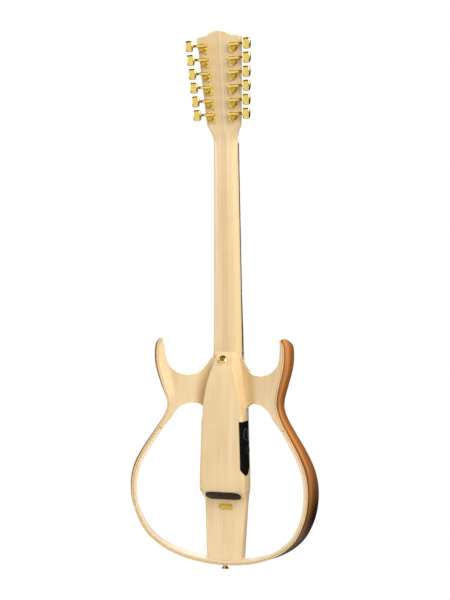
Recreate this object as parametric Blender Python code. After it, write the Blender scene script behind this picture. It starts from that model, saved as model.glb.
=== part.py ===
"""A twelve-string silent guitar with a skeleton body, modelled at its real size in metres.

+Z runs up the neck, the strings face -Y and the player's side faces +Y. The origin is on the neck's
front plane and centre line, just above the nut, where a hanger's fork takes the headstock's foot.
"""

import math

import bmesh
import bpy
from mathutils import Matrix, Vector

GAP = 0.0003

# Scale, neck and headstock
NUT_DROP = 0.022
SCALE_LENGTH = 0.634
COMPENSATION = 0.003
JOINT_DROP = 0.415
SADDLE_DROP = JOINT_DROP - NUT_DROP - SCALE_LENGTH - COMPENSATION
NECK_TILT = math.radians(2.0)
HEAD_TILT = math.radians(8.5)
NUT_WIDTH = 0.0465
HEEL_END_WIDTH = 0.055
NECK_DEPTH_NUT = 0.0145
NECK_DEPTH_HEEL = 0.0190
HEAD_THICKNESS = 0.0135
HEAD_FOOT_WIDTH = 0.066
HEAD_SHOULDER_WIDTH = 0.085
HEAD_FOOT_HEIGHT = 0.0365
HEAD_SHOULDER_HEIGHT = 0.1925
HEAD_PEAK_RISE = 0.0112
HEAD_PEAK_WIDTH = 0.014
HEAD_JOINT_EASE = 0.001

# Neck sections: height in the neck's frame and how square the back is, from round (2) upwards
NECK_SECTIONS = ((-0.395, 2.7), (-0.30, 2.3), (-0.15, 2.2), (-0.042, 2.3))

# Throat: height over the nut, half width over the nut's, squareness. Flare: half width under the foot's
HEAD_THROAT = ((0.005, 0.0004, 3.0), (0.0135, 0.0021, 4.5))
HEAD_FLARE = ((0.0195, 0.0055), (0.025, 0.0028), (0.031, 0.0008))

# Crown above the shoulders: share of the rise, share of the shoulders' width kept
HEAD_CROWN = ((0.09, 0.90), (0.33, 0.47), (0.71, 0.24), (0.94, 0.03), (1.0, -0.015))

# Fretboard, nut and strings
FRETS = 20
BOARD_THICKNESS = 0.006
BOARD_TAIL = 0.007
FRET_HEIGHT = 0.0011
FRET_WIDTH = 0.0024
NUT_THICKNESS = 0.005
NUT_RISE = 0.0022
COURSES = 6
STRING_MARGIN = 0.0066
PAIR_SPACING_NUT = 0.0018
PAIR_SPACING_BRIDGE = 0.0026
STRING_RADII = (0.00025, 0.00028, 0.00034, 0.00042, 0.00050, 0.00058)
OCTAVE_SHARE = 0.60
UNISON_COURSES = 2
BALL_RADIUS = 0.0016
BALL_REACH = 0.0011

# Tuners, six on each side of the headstock
TUNERS_PER_SIDE = 6
FIRST_TUNER = 0.0510
TUNER_PITCH = 0.0255
POST_INSET = 0.0115
WORM_OFFSET = 0.0070
POST_RADIUS = 0.0030
POST_HEIGHT = 0.0125
BARREL_WALL = 0.0015
COLLAR_RADIUS = 0.0062
COLLAR_HEIGHT = 0.0022
WHEEL_RADIUS = 0.0048
WHEEL_THICKNESS = 0.0042
HOUSING_SIZE = 0.0165
HOUSING_DEPTH = 0.0090
HOUSING_BAR_HEIGHT = 0.0060
HOUSING_PLATE_DEPTH = 0.0020
HOUSING_EDGE = 0.0004
COVER_RADIUS = 0.0060
COVER_DEPTH = 0.0085
EAR_RADIUS = 0.0019
EAR_INSET = 0.0010
SLEEVE_RADIUS = 0.0028
SLEEVE_REACH = 0.0118
WORM_RADIUS = 0.0018
GEAR_FLOOR = 0.0015
SHAFT_INNER_WALL = 0.0020
POST_WAIST = 0.0011
STEM_LENGTH = 0.0022
WAIST_LOW = 0.0074
WAIST_HIGH = 0.0042
WRAP_NEAR = 0.0062
WRAP_FAR = 0.0048
WRAP_ANGLE = 14
SHAFT_RISE = 0.0045
BUTTON_LENGTH = 0.015
BUTTON_HEIGHT = 0.021
BUTTON_THICKNESS = 0.0085
BUTTON_CLEARANCE = 0.0068

# Rim: its outline is drawn at the back edge, and the front edge flares out from it
FLARE = 1 / 0.924

# Horns: from the foot to their full shape the rim stands higher behind and flares more, and the wing dips
HORN_FOOT = -0.112
HORN_FULL = -0.060
HORN_LIFT = 0.0080
HORN_DIP = 0.0060
HORN_RIDGE_REACH = 0.016
HORN_FLARE = 0.028
RIM_FRONT = 0.008
RIM_FRONT_SWEEP_RADIUS = 1.25
RIM_BACK = 0.030
RIM_BACK_SWEEP_RADIUS = 0.8333
VENEER_THICKNESS = 0.0030
BAND_THICKNESS = 0.0060
BAND_TOP = -0.140
RIM_STEPS = 3
HORN_TIP_EASE = 0.27
HORN_TIP_REACH = 0.018
RIM_OUTLINE = (
    (0.1168, 0.0265),
    (0.1228, 0.0140),
    (0.1242, -0.0100),
    (0.1212, -0.0330),
    (0.1140, -0.0600),
    (0.1080, -0.0850),
    (0.1075, -0.1030),
    (0.1150, -0.1240),
    (0.1290, -0.1480),
    (0.1510, -0.1840),
    (0.1665, -0.2190),
    (0.1715, -0.2560),
    (0.1665, -0.2960),
    (0.1510, -0.3330),
    (0.1310, -0.3570),
    (0.1040, -0.3760),
    (0.0700, -0.3900),
    (0.0350, -0.3975),
    (0.0, -0.4000),
)

# Wings: the two horns of the upper body
CUTAWAY = (
    (0.0300, -0.0100),
    (0.0372, -0.0225),
    (0.0465, -0.0350),
    (0.0590, -0.0420),
    (0.0750, -0.0435),
    (0.0905, -0.0390),
    (0.1030, -0.0290),
    (0.1100, -0.0150),
    (0.1125, 0.0020),
    (0.1140, 0.0210),
)
ARCH = (
    (0.0400, -0.1070),
    (0.0480, -0.0990),
    (0.0600, -0.0955),
    (0.0740, -0.0980),
    (0.0850, -0.1045),
    (0.0930, -0.1130),
    (0.0990, -0.1230),
)
WING_STEP = 0.012
WING_FLARE_START = 0.045
WING_FLARE_REACH = 0.050
SCOOP_REACH = 0.026
SCOOP_STEP = 0.006
SCOOP_DEPTH = 0.0125

# Centre block: drop below the neck joint, half width, depth behind the front plane, then the two back
# corners: how far each reaches across and forward, and its roundness, from a flat facet (0) to a
# quarter round (1)
FRONT_PLATE_THICKNESS = 0.004
BLOCK_DEPTH = 0.044
BLOCK_WAIST = 0.040
BLOCK_WIDEST = 0.044
STEP_TOP = -0.2585
STEP_BOTTOM = -0.2785
STEP_DEPTH = 0.0185
TAIL_DEPTH = 0.0300
TAIL_HALF_WIDTH = 0.0330
TAIL_END = -0.394
CORNER = 0.006
TAIL_CORNER = 0.0025
BLOCK_SECTIONS = (
    (0.0, HEEL_END_WIDTH / 2, 0.0195, 0.0170, 0.0150, 1.0),
    (-0.008, 0.0280, 0.0262, 0.0135, 0.0180, 0.0),
    (-0.022, 0.0295, 0.0350, 0.0118, 0.0250, 0.0),
    (-0.038, 0.0312, BLOCK_DEPTH - 0.0028, 0.0085, 0.0290, 0.0),
    (-0.062, 0.0345, BLOCK_DEPTH - 0.0005, 0.0052, 0.0270, 0.0),
    (-0.104, BLOCK_WAIST, BLOCK_DEPTH, 0.0036, 0.0235, 0.0),
    (-0.128, 0.0405, BLOCK_DEPTH, CORNER, CORNER, 1.0),
    (-0.244, BLOCK_WIDEST, BLOCK_DEPTH, CORNER, CORNER, 1.0),
    (STEP_TOP, 0.0435, BLOCK_DEPTH, CORNER, CORNER, 1.0),
    (STEP_BOTTOM, 0.0405, STEP_DEPTH, TAIL_CORNER, TAIL_CORNER, 1.0),
    (TAIL_END, TAIL_HALF_WIDTH, TAIL_DEPTH, TAIL_CORNER, TAIL_CORNER, 1.0),
)

# Bridge and saddle
BRIDGE_WIDTH = 0.082
BRIDGE_LENGTH = 0.030
BRIDGE_HEIGHT = 0.0125
SADDLE_WIDTH = 0.074
SADDLE_THICKNESS = 0.0028
SADDLE_RISE = 0.0060
SADDLE_SEAT = 0.0030

# Preamp panel let into the bass side of the block
PANEL_TOP = -0.129
PANEL_BOTTOM = -0.222
PANEL_POINT = 0.009
PANEL_FRONT = 0.0060
PANEL_THICKNESS = 0.0030
PANEL_PROUD = 0.0006
DIAL_DROP = -0.1830
DIAL_RADIUS = 0.0070
DIAL_RISE = 0.0042
DIAL_DEPTH_PLACE = 0.0225
DIAL_HUB_RADIUS = 0.0025
DIAL_HUB_REACH = 0.0020
SLIDER_DROP = -0.1680
SLIDER_TRAVEL = 0.008
SLIDER_LENGTH = 0.0060
SLIDER_WIDTH = 0.0050
SLIDER_RISE = 0.0048
SLIDER_STEM = 0.0024

# Battery compartment in the sloping step
BATTERY_WIDTH = 0.060
BATTERY_HEIGHT = 0.0160
BATTERY_BAY_FLOOR = 0.0010
BATTERY_FLANGE_WIDTH = 0.070
BATTERY_FLANGE_HEIGHT = 0.0235
FLANGE_THICKNESS = 0.0016
BATTERY_WALL = 0.0012
FINGER_NOTCH_WIDTH = 0.018
FINGER_NOTCH_HEIGHT = 0.0025
FINGER_NOTCH_INSET = 0.0030
FINGER_NOTCH_DEPTH = 0.0008
DRAWER_WALL = 0.0020

# Strap buttons
STRAP_BUTTON_RADIUS = 0.0068
STRAP_BUTTON_LENGTH = 0.0080
STRAP_SCREW_RADIUS = 0.0020
STRAP_SCREW_LENGTH = 0.020
HEEL_BUTTON_DROP = -0.0150


def clear_scene():
    for obj in list(bpy.data.objects):
        bpy.data.objects.remove(obj, do_unlink=True)


def material(name, colour, roughness, metallic=0.0):
    made = bpy.data.materials.new(name)
    made.use_nodes = True
    shader = made.node_tree.nodes["Principled BSDF"]
    shader.inputs["Base Color"].default_value = (*colour, 1.0)
    shader.inputs["Roughness"].default_value = roughness
    shader.inputs["Metallic"].default_value = metallic
    return made


def empty(name, matrix, parent=None):
    made = bpy.data.objects.new(name, None)
    made.empty_display_size = 0.02
    bpy.context.scene.collection.objects.link(made)
    made.parent = parent
    made.matrix_local = matrix
    return made


def add_object(name, bm, look, parent, matrix=None, helper=False):
    """Turns a bmesh into an object with outward faces. A helper is a cutter, drawn as wire only."""
    bmesh.ops.remove_doubles(bm, verts=bm.verts, dist=1e-7)
    bmesh.ops.recalc_face_normals(bm, faces=bm.faces)
    mesh = bpy.data.meshes.new(name)
    bm.to_mesh(mesh)
    bm.free()
    return place(name, mesh, look, parent, matrix, helper)


def place(name, mesh, look, parent, matrix=None, helper=False):
    obj = bpy.data.objects.new(name, mesh)
    bpy.context.scene.collection.objects.link(obj)
    obj.parent = parent
    if matrix is not None:
        obj.matrix_local = matrix
    if look is not None and not mesh.materials:
        mesh.materials.append(look)
    mesh.shade_smooth()
    mesh.set_sharp_from_angle(angle=math.radians(35))
    if helper:
        obj.hide_render = True
        obj.display_type = "WIRE"
    return obj


def cut(obj, cutter, name, operation="DIFFERENCE"):
    modifier = obj.modifiers.new(name, "BOOLEAN")
    modifier.operation = operation
    modifier.object = cutter
    modifier.solver = "EXACT"


def baked_mesh(obj):
    """The mesh of an object with its modifiers applied, for pieces that share one shape."""
    bpy.context.view_layer.update()
    graph = bpy.context.evaluated_depsgraph_get()
    mesh = bpy.data.meshes.new_from_object(obj.evaluated_get(graph))
    mesh.shade_smooth()
    mesh.set_sharp_from_angle(angle=math.radians(35))
    return mesh


def smooth_curve(points, steps):
    """Points along a Catmull-Rom curve through the given ones, ends included."""
    first = [2 * points[0][k] - points[1][k] for k in range(len(points[0]))]
    last = [2 * points[-1][k] - points[-2][k] for k in range(len(points[0]))]
    chain = [Vector(p) for p in (first, *points, last)]
    found = []
    for a, b, c, d in zip(chain, chain[1:], chain[2:], chain[3:]):
        for step in range(steps):
            t = step / steps
            line = 2 * b + (c - a) * t + (2 * a - 5 * b + 4 * c - d) * t**2
            found.append((line + (3 * b - a - 3 * c + d) * t**3) / 2)
    found.append(Vector(points[-1]))
    return found


def between(table, key, column):
    """Linear reading of a column of a table whose first column falls."""
    for upper, lower in zip(table, table[1:]):
        if upper[0] >= key >= lower[0]:
            share = (upper[0] - key) / (upper[0] - lower[0])
            return upper[column] + (lower[column] - upper[column]) * share
    return table[0][column] if key > table[0][0] else table[-1][column]


def loft(bm, rings):
    """Joins rings with the same number of points into one closed skin with flat ends."""
    made = [[bm.verts.new(p) for p in ring] for ring in rings]
    count = len(made[0])
    for lower, upper in zip(made, made[1:]):
        for i in range(count):
            j = (i + 1) % count
            bm.faces.new((lower[i], lower[j], upper[j], upper[i]))
    bm.faces.new(reversed(made[0]))
    bm.faces.new(made[-1])


def turned(bm, profile, segments, matrix=None):
    """A turned piece about local Z from (radius, height) pairs, with flat ends."""
    matrix = matrix or Matrix()
    rings = []
    for radius, height in profile:
        ring = []
        for i in range(segments):
            angle = 2 * math.pi * i / segments
            x, y = radius * math.cos(angle), radius * math.sin(angle)
            ring.append(matrix @ Vector((x, y, height)))
        rings.append(ring)
    loft(bm, rings)


def box(bm, low, high, matrix=None):
    corners = [
        [(low[0], low[1], z), (high[0], low[1], z), (high[0], high[1], z), (low[0], high[1], z)]
        for z in (low[2], high[2])
    ]
    matrix = matrix or Matrix()
    loft(bm, [[matrix @ Vector(p) for p in ring] for ring in corners])


def bevel(obj, width, segments=1, angle=40):
    modifier = obj.modifiers.new("softened_edges", "BEVEL")
    modifier.width = width
    modifier.segments = segments
    modifier.limit_method = "ANGLE"
    modifier.angle_limit = math.radians(angle)


def back_section(half_width, depth, power, points):
    """A neck section: flat front, and a back that runs from a half round (power 2) to a box."""
    ring = []
    for i in range(points + 1):
        angle = math.pi * i / points
        x = half_width * math.copysign(abs(math.cos(angle)) ** (2 / power), math.cos(angle))
        ring.append(Vector((x, depth * abs(math.sin(angle)) ** (2 / power), 0.0)))
    return ring


def block_section(drop, half_width, depth, across, forward, roundness, front):
    """A block section: square at the front, with its two back corners eased."""
    bass = []
    for i in range(5):
        angle = math.pi / 8 * i
        flat = Vector((-across * i / 4, -forward * (4 - i) / 4))
        arc = Vector((across * (math.cos(angle) - 1), forward * (math.sin(angle) - 1)))
        ease = flat.lerp(arc, roundness)
        bass.append(Vector((half_width + ease[0], depth + ease[1], drop)))
    treble = [Vector((-p[0], p[1], drop)) for p in reversed(bass)]
    front_edge = (Vector((half_width, front, drop)), Vector((-half_width, front, drop)))
    return [front_edge[0], *bass, *treble, front_edge[1]]


def neck_half_width(height):
    """Half width of neck and fretboard at a height in the neck's own frame."""
    share = (-height - NUT_DROP) / (JOINT_DROP - NUT_DROP)
    return (NUT_WIDTH + (HEEL_END_WIDTH - NUT_WIDTH) * share) / 2


def head_half_width(height):
    share = (height - HEAD_FOOT_HEIGHT) / (HEAD_SHOULDER_HEIGHT - HEAD_FOOT_HEIGHT)
    return (HEAD_FOOT_WIDTH + (HEAD_SHOULDER_WIDTH - HEAD_FOOT_WIDTH) * share) / 2


def fret_drop(number):
    return SCALE_LENGTH * (1 - 2 ** (-number / 12))


def rim_front_depth(x):
    return RIM_FRONT + x * x / RIM_FRONT_SWEEP_RADIUS


def rim_back_depth(x):
    return RIM_BACK + x * x / RIM_BACK_SWEEP_RADIUS


def eased(share):
    share = min(max(share, 0.0), 1.0)
    return share * share * (3 - 2 * share)


def horn_share(z):
    """How far the horn's own shape has come in at a height, from 0 at the waist to 1."""
    return eased((z - HORN_FOOT) / (HORN_FULL - HORN_FOOT))


def horn_lift(x, z):
    """How much further back the horn's outer edge stands than the plain sweep of the rim."""
    edge = between([(p[1], p[0]) for p in RIM_OUTLINE], z, 1)
    return HORN_LIFT * horn_share(z) * eased(1 - (edge - abs(x)) / HORN_RIDGE_REACH)


def horn_dip(x, z):
    """How much the horn's back face falls away towards the cutaway."""
    edge = between([(p[1], p[0]) for p in RIM_OUTLINE], z, 1)
    return HORN_DIP * horn_share(z) * eased((edge - abs(x)) / HORN_RIDGE_REACH)


def rim_flare(z):
    return FLARE + HORN_FLARE * horn_share(z)


def rim_curve():
    """The rim's outer back edge from the treble horn's tip round to the bass one, with inward normals.

    A station lies exactly at the top of the pale band, where each wing ends.
    """
    half = smooth_curve(RIM_OUTLINE, RIM_STEPS)
    for upper, lower in zip(half, half[1:]):
        if upper[1] > BAND_TOP > lower[1]:
            joint = upper.lerp(lower, (upper[1] - BAND_TOP) / (upper[1] - lower[1]))
    half = [p for p in half if (p - joint).length > 0.002] + [joint]
    half.sort(key=lambda p: -p[1])
    whole = half + [Vector((-p[0], p[1])) for p in reversed(half[:-1])]
    normals = []
    for i in range(len(whole)):
        along = whole[min(i + 1, len(whole) - 1)] - whole[max(i - 1, 0)]
        normals.append(Vector((along[1], -along[0])).normalized())
    return whole, normals


def inset_curve(whole, normals, distance):
    return [p + n * distance for p, n in zip(whole, normals)]


def tip_share(z):
    """How much of the rim's depth is left at a height, since the front corner of each tip is eased."""
    near_tip = max(0.0, (z - RIM_OUTLINE[0][1]) / HORN_TIP_REACH + 1)
    return 1 - HORN_TIP_EASE * near_tip**2


def rim_point(point, share):
    """A point of the back outline carried forward by a share of the rim's depth, 0 back to 1 front."""
    x, z = point
    share *= tip_share(z)
    flare = rim_flare(z)
    lift = horn_lift(x, z)
    back = rim_back_depth(x) + lift - horn_dip(x, z)
    front = rim_front_depth(x * flare) + lift
    return Vector((x * (1 + (flare - 1) * share), back + (front - back) * share, z))


def rim_strip(bm, whole, normals, outer, inner, chamfer):
    """A bent strip between two insets of the rim's curve, flared to the front, with chamfered edges."""
    rings = []
    for point, normal in zip(whole, normals):
        edge = chamfer / (RIM_BACK - RIM_FRONT)
        ring = []
        for inset, share in (
            (outer, edge),
            (outer + chamfer, 0),
            (inner - chamfer, 0),
            (inner, edge),
            (inner, 1 - edge),
            (inner - chamfer, 1),
            (outer + chamfer, 1),
            (outer, 1 - edge),
        ):
            ring.append(rim_point(point + normal * inset, share))
        rings.append(ring)
    loft(bm, rings)


def wing_flare(x, z):
    """The wing flares like the rim at its edge, and stays upright where it meets the block."""
    share = min(max((abs(x) - WING_FLARE_START) / WING_FLARE_REACH, 0.0), 1.0)
    return 1 + (rim_flare(z) - 1) * share


def scooped_depth(x, z):
    """Depth of the wing's back face: beside the block it is scooped down to the edge of its facet."""
    back, forward = (between(BLOCK_SECTIONS, z, column) for column in (2, 4))
    floor = max(SCOOP_DEPTH, back - forward)
    out = (x - between(BLOCK_SECTIONS, z, 1) - GAP) / SCOOP_REACH
    full = rim_back_depth(x) + horn_lift(x, z) - horn_dip(x, z)
    return floor + (full - floor) * eased(out)


def wing_outline():
    whole, normals = rim_curve()
    last = max(i for i, p in enumerate(whole) if p[0] > 0 and p[1] > BAND_TOP - 1e-6)
    along = (whole[last] - whole[last - 1]).normalized()
    outer = inset_curve(whole[:last], normals, VENEER_THICKNESS + GAP)
    for inset in (VENEER_THICKNESS + GAP, VENEER_THICKNESS + GAP + BAND_THICKNESS):
        outer.append(whole[last] + normals[last] * inset - along * GAP)
    root = [Vector((p[1] + GAP, p[0])) for p in BLOCK_SECTIONS if ARCH[0][1] < p[0] < CUTAWAY[0][1]]
    arch = smooth_curve(ARCH, 3)
    arch[0] = Vector((between(BLOCK_SECTIONS, ARCH[0][1], 1) + GAP, ARCH[0][1]))
    cutaway = smooth_curve(CUTAWAY, 3)
    cutaway[0] = Vector((between(BLOCK_SECTIONS, CUTAWAY[0][1], 1) + GAP, CUTAWAY[0][1]))
    return list(reversed(outer)) + list(reversed(cutaway)) + root + arch


def make_wing(name, side, look, parent):
    outline = wing_outline()
    bm = bmesh.new()
    rings = [[Vector((p[0], depth, p[1])) for p in outline] for depth in (0.0, 1.0)]
    loft(bm, rings)
    place_x = SCOOP_STEP * math.ceil(min(p[0] for p in outline) / SCOOP_STEP)
    while place_x < RIM_OUTLINE[2][0]:
        geometry = bm.verts[:] + bm.edges[:] + bm.faces[:]
        bmesh.ops.bisect_plane(bm, geom=geometry, plane_co=(place_x, 0, 0), plane_no=(1, 0, 0))
        place_x += SCOOP_STEP if place_x < BLOCK_WAIST + SCOOP_REACH else WING_STEP
    for vertex in bm.verts:
        x, share, z = vertex.co
        back = scooped_depth(x, z)
        if share > 0.5:
            vertex.co = (side * x, back, z)
        else:
            front_x = x * wing_flare(x, z)
            kept = tip_share(z)
            front = rim_front_depth(front_x) + horn_lift(x, z)
            vertex.co = (side * (x + (front_x - x) * kept), back + (front - back) * kept, z)
    bmesh.ops.triangulate(bm, faces=[f for f in bm.faces if len(f.verts) > 4])
    wing = add_object(name, bm, look, parent)
    return wing


def make_neck(look, neck_frame, head_in_neck, body_in_neck):
    """Neck and headstock in one piece: sections run from the heel joint up to the headstock's peak."""
    points = 14
    rings = []
    joint = back_section(HEEL_END_WIDTH / 2, NECK_DEPTH_HEEL, 3.0, points)
    rings.append([body_in_neck @ (p + Vector((0, 0, GAP))) for p in joint])
    for height, power in NECK_SECTIONS:
        depth = NECK_DEPTH_NUT + (NECK_DEPTH_HEEL - NECK_DEPTH_NUT) * -height / JOINT_DROP
        ring = back_section(neck_half_width(height), depth, power, points)
        rings.append([p + Vector((0, 0, height)) for p in ring])
    ring = back_section(NUT_WIDTH / 2, HEAD_THICKNESS, 2.6, points)
    rings.append([p + Vector((0, 0, NUT_THICKNESS - NUT_DROP - HEAD_JOINT_EASE)) for p in ring])
    foot = HEAD_FOOT_WIDTH / 2
    shoulder = HEAD_SHOULDER_WIDTH / 2
    peak = HEAD_PEAK_WIDTH / 2
    head_sections = [(height, NUT_WIDTH / 2 + wider, power) for height, wider, power in HEAD_THROAT]
    head_sections += [(height, foot - narrower, 9.0) for height, narrower in HEAD_FLARE]
    head_sections += [(HEAD_FOOT_HEIGHT, foot, 12.0), (HEAD_SHOULDER_HEIGHT, shoulder, 12.0)]
    for rise, width_share in HEAD_CROWN:
        height = HEAD_SHOULDER_HEIGHT + HEAD_PEAK_RISE * rise
        head_sections.append((height, peak + (shoulder - peak) * width_share, 10.0))
    for height, half_width, power in head_sections:
        ring = back_section(half_width, HEAD_THICKNESS, power, points)
        rings.append([head_in_neck @ (p + Vector((0, 0, height))) for p in ring])
    bm = bmesh.new()
    loft(bm, rings)
    return add_object("neck", bm, look, neck_frame)


def make_barrel_holes(parent):
    """One cutter with all twelve holes for the tuners' barrels."""
    radius = POST_RADIUS + GAP + BARREL_WALL + GAP
    bm = bmesh.new()
    for side in (1, -1):
        for number in range(TUNERS_PER_SIDE):
            spot = post_spot(side, number) @ Matrix.Rotation(math.radians(-90), 4, "X")
            reach = HEAD_THICKNESS + 0.01
            turned(bm, ((radius, -0.01), (radius, reach)), 12, spot)
    return add_object("barrel_hole_cutter", bm, None, parent, helper=True)


def post_spot(side, number):
    """The place of a tuner's post on the headstock's front face, in the headstock's frame."""
    height = FIRST_TUNER + TUNER_PITCH * number
    x = head_half_width(height) - POST_INSET
    return Matrix.Translation((side * x, 0, height - WORM_OFFSET))


def shaft_centre_depth():
    return HEAD_THICKNESS + GAP + SHAFT_RISE


def housing_outline(side):
    """The gear box's plate seen from behind: shaft bar on top, round cover, and an ear for its screw."""
    half = HOUSING_SIZE / 2
    top = WORM_OFFSET + HOUSING_BAR_HEIGHT / 2
    bottom = WORM_OFFSET - HOUSING_BAR_HEIGHT / 2
    ear = Vector((-half + EAR_INSET, -COVER_RADIUS - EAR_INSET))
    found = [Vector((-half, top)), Vector((half, top)), Vector((half, bottom))]
    for degrees in (20, -10, -40, -70, -100):
        angle = math.radians(degrees)
        found.append(Vector((math.cos(angle), math.sin(angle))) * (COVER_RADIUS + HOUSING_EDGE))
    for degrees in (-60, -110, -160, 170):
        angle = math.radians(degrees)
        found.append(ear + Vector((math.cos(angle), math.sin(angle))) * EAR_RADIUS)
    return [Vector((side * p[0], p[1])) for p in found]


def housing_mesh(side, parent):
    """Gear box on the back of the headstock with the barrel that runs through it to a front collar."""
    top = WORM_OFFSET + HOUSING_BAR_HEIGHT / 2 - HOUSING_EDGE
    bottom = WORM_OFFSET - HOUSING_BAR_HEIGHT / 2 + HOUSING_EDGE
    back = HEAD_THICKNESS + GAP
    half = HOUSING_SIZE / 2 - HOUSING_EDGE
    root = back + HOUSING_PLATE_DEPTH / 2
    outline = housing_outline(side)
    bm = bmesh.new()
    loft(bm, [[Vector((p[0], y, p[1])) for p in outline] for y in (back, back + HOUSING_PLATE_DEPTH)])
    shell = add_object("housing_master", bm, None, parent, helper=True)
    bm = bmesh.new()
    box(bm, (-half, root, bottom), (half, back + HOUSING_DEPTH, top))
    cut(shell, add_object("shaft_bar_master", bm, None, parent, helper=True), "shaft_bar", "UNION")
    to_depth = Matrix.Rotation(math.radians(-90), 4, "X")
    bm = bmesh.new()
    edge = COVER_RADIUS - HOUSING_EDGE
    crown = back + COVER_DEPTH
    turned(bm, ((COVER_RADIUS, root), (COVER_RADIUS, crown - HOUSING_EDGE), (edge, crown)), 14, to_depth)
    cut(shell, add_object("cover_master", bm, None, parent, helper=True), "cover", "UNION")
    barrel = POST_RADIUS + GAP + BARREL_WALL
    bm = bmesh.new()
    profile = (
        (COLLAR_RADIUS, -COLLAR_HEIGHT - GAP),
        (COLLAR_RADIUS, -GAP),
        (barrel, -GAP),
        (barrel, back + HOUSING_PLATE_DEPTH / 2),
    )
    turned(bm, profile, 12, to_depth)
    cut(shell, add_object("barrel_master", bm, None, parent, helper=True), "barrel", "UNION")
    shaft = Matrix.Translation((0, shaft_centre_depth(), WORM_OFFSET))
    along = shaft @ Matrix.Rotation(math.radians(90), 4, "Y")
    bm = bmesh.new()
    low, high = sorted((side * HOUSING_SIZE / 4, side * SLEEVE_REACH))
    turned(bm, ((SLEEVE_RADIUS, low), (SLEEVE_RADIUS, high)), 12, along)
    cut(shell, add_object("sleeve_master", bm, None, parent, helper=True), "sleeve", "UNION")
    bm = bmesh.new()
    bore = POST_RADIUS + GAP
    wheel = WHEEL_RADIUS + GAP
    floor = back + GEAR_FLOOR
    pocket = floor + WHEEL_THICKNESS + 2 * GAP
    profile = ((bore, -0.02), (bore, floor), (wheel, floor), (wheel, pocket))
    turned(bm, profile, 12, to_depth)
    cut(shell, add_object("post_bore_master", bm, None, parent, helper=True), "post_bore")
    bm = bmesh.new()
    low, high = sorted((side * (SHAFT_INNER_WALL - HOUSING_SIZE / 2), side * (SLEEVE_REACH + 0.01)))
    turned(bm, ((WORM_RADIUS + GAP, low), (WORM_RADIUS + GAP, high)), 8, along)
    cut(shell, add_object("worm_bore_master", bm, None, parent, helper=True), "worm_bore")
    return baked_mesh(shell)


def shared_mesh(name, bm, look):
    """One mesh for all the pieces of a kind."""
    bmesh.ops.recalc_face_normals(bm, faces=bm.faces)
    mesh = bpy.data.meshes.new(name)
    bm.to_mesh(mesh)
    bm.free()
    mesh.materials.append(look)
    return mesh


def post_mesh(look):
    """String post and worm wheel, turned about the post's axis, which runs to +Y from the origin."""
    start = HEAD_THICKNESS + GAP + GEAR_FLOOR + GAP
    waist = POST_RADIUS - POST_WAIST
    profile = (
        (POST_RADIUS - 0.0004, -POST_HEIGHT),
        (POST_RADIUS, -POST_HEIGHT + 0.0006),
        (POST_RADIUS, -POST_HEIGHT + 0.0024),
        (waist, -POST_HEIGHT + WAIST_HIGH),
        (waist, -POST_HEIGHT + WAIST_LOW),
        (POST_RADIUS, -POST_HEIGHT + WAIST_LOW + POST_WAIST),
        (POST_RADIUS, start),
        (WHEEL_RADIUS, start),
        (WHEEL_RADIUS, start + WHEEL_THICKNESS),
    )
    bm = bmesh.new()
    turned(bm, profile, 10, Matrix.Rotation(math.radians(-90), 4, "X"))
    return shared_mesh("tuner_post", bm, look)


def knob_mesh(side, look):
    """Button, stem, shaft and worm in one piece about the shaft's axis, which is local X here."""
    half_button = BUTTON_LENGTH / 2
    inner_end = SHAFT_INNER_WALL + GAP - HOUSING_SIZE / 2
    button_start = POST_INSET + BUTTON_CLEARANCE
    middle = button_start + half_button
    sections = [
        (inner_end, WORM_RADIUS, WORM_RADIUS),
        (SLEEVE_REACH, WORM_RADIUS, WORM_RADIUS),
        (button_start - STEM_LENGTH, WORM_RADIUS, WORM_RADIUS),
        (button_start - 0.7 * STEM_LENGTH, 0.0028, 0.0028),
        (button_start, 0.0032, 0.0030),
    ]
    for step in range(6):
        along = -0.96 + 1.92 * step / 5
        swell = (1 - abs(along) ** 3.2) ** (1 / 2.4)
        height = BUTTON_HEIGHT / 2 * swell
        thickness = BUTTON_THICKNESS / 2 * swell**0.8
        sections.append((middle + half_button * along, height, thickness))
    rings = []
    for x, half_height, half_thickness in sections:
        ring = []
        for i in range(10):
            angle = 2 * math.pi * i / 10
            y, z = half_thickness * math.cos(angle), half_height * math.sin(angle)
            ring.append(Vector((side * x, y, z)))
        rings.append(ring)
    bm = bmesh.new()
    loft(bm, rings)
    return shared_mesh("tuner_knob", bm, look)


def make_tuners(looks, head_frame):
    meshes = {side: housing_mesh(side, head_frame) for side in (1, -1)}
    for mesh in meshes.values():
        mesh.materials.clear()
        mesh.materials.append(looks["gold"])
    posts = post_mesh(looks["gold"])
    knobs = {side: knob_mesh(side, looks["gold"]) for side in (1, -1)}
    count = 0
    for side in (1, -1):
        for number in range(TUNERS_PER_SIDE):
            count += 1
            spot = post_spot(side, number)
            place(f"tuner_housing_{count:02d}", meshes[side], None, head_frame, spot)
            place(f"tuner_post_{count:02d}", posts, None, head_frame, spot)
            shaft = spot @ Matrix.Translation((0, shaft_centre_depth(), WORM_OFFSET))
            place(f"tuner_knob_{count:02d}", knobs[side], None, head_frame, shaft)


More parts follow.
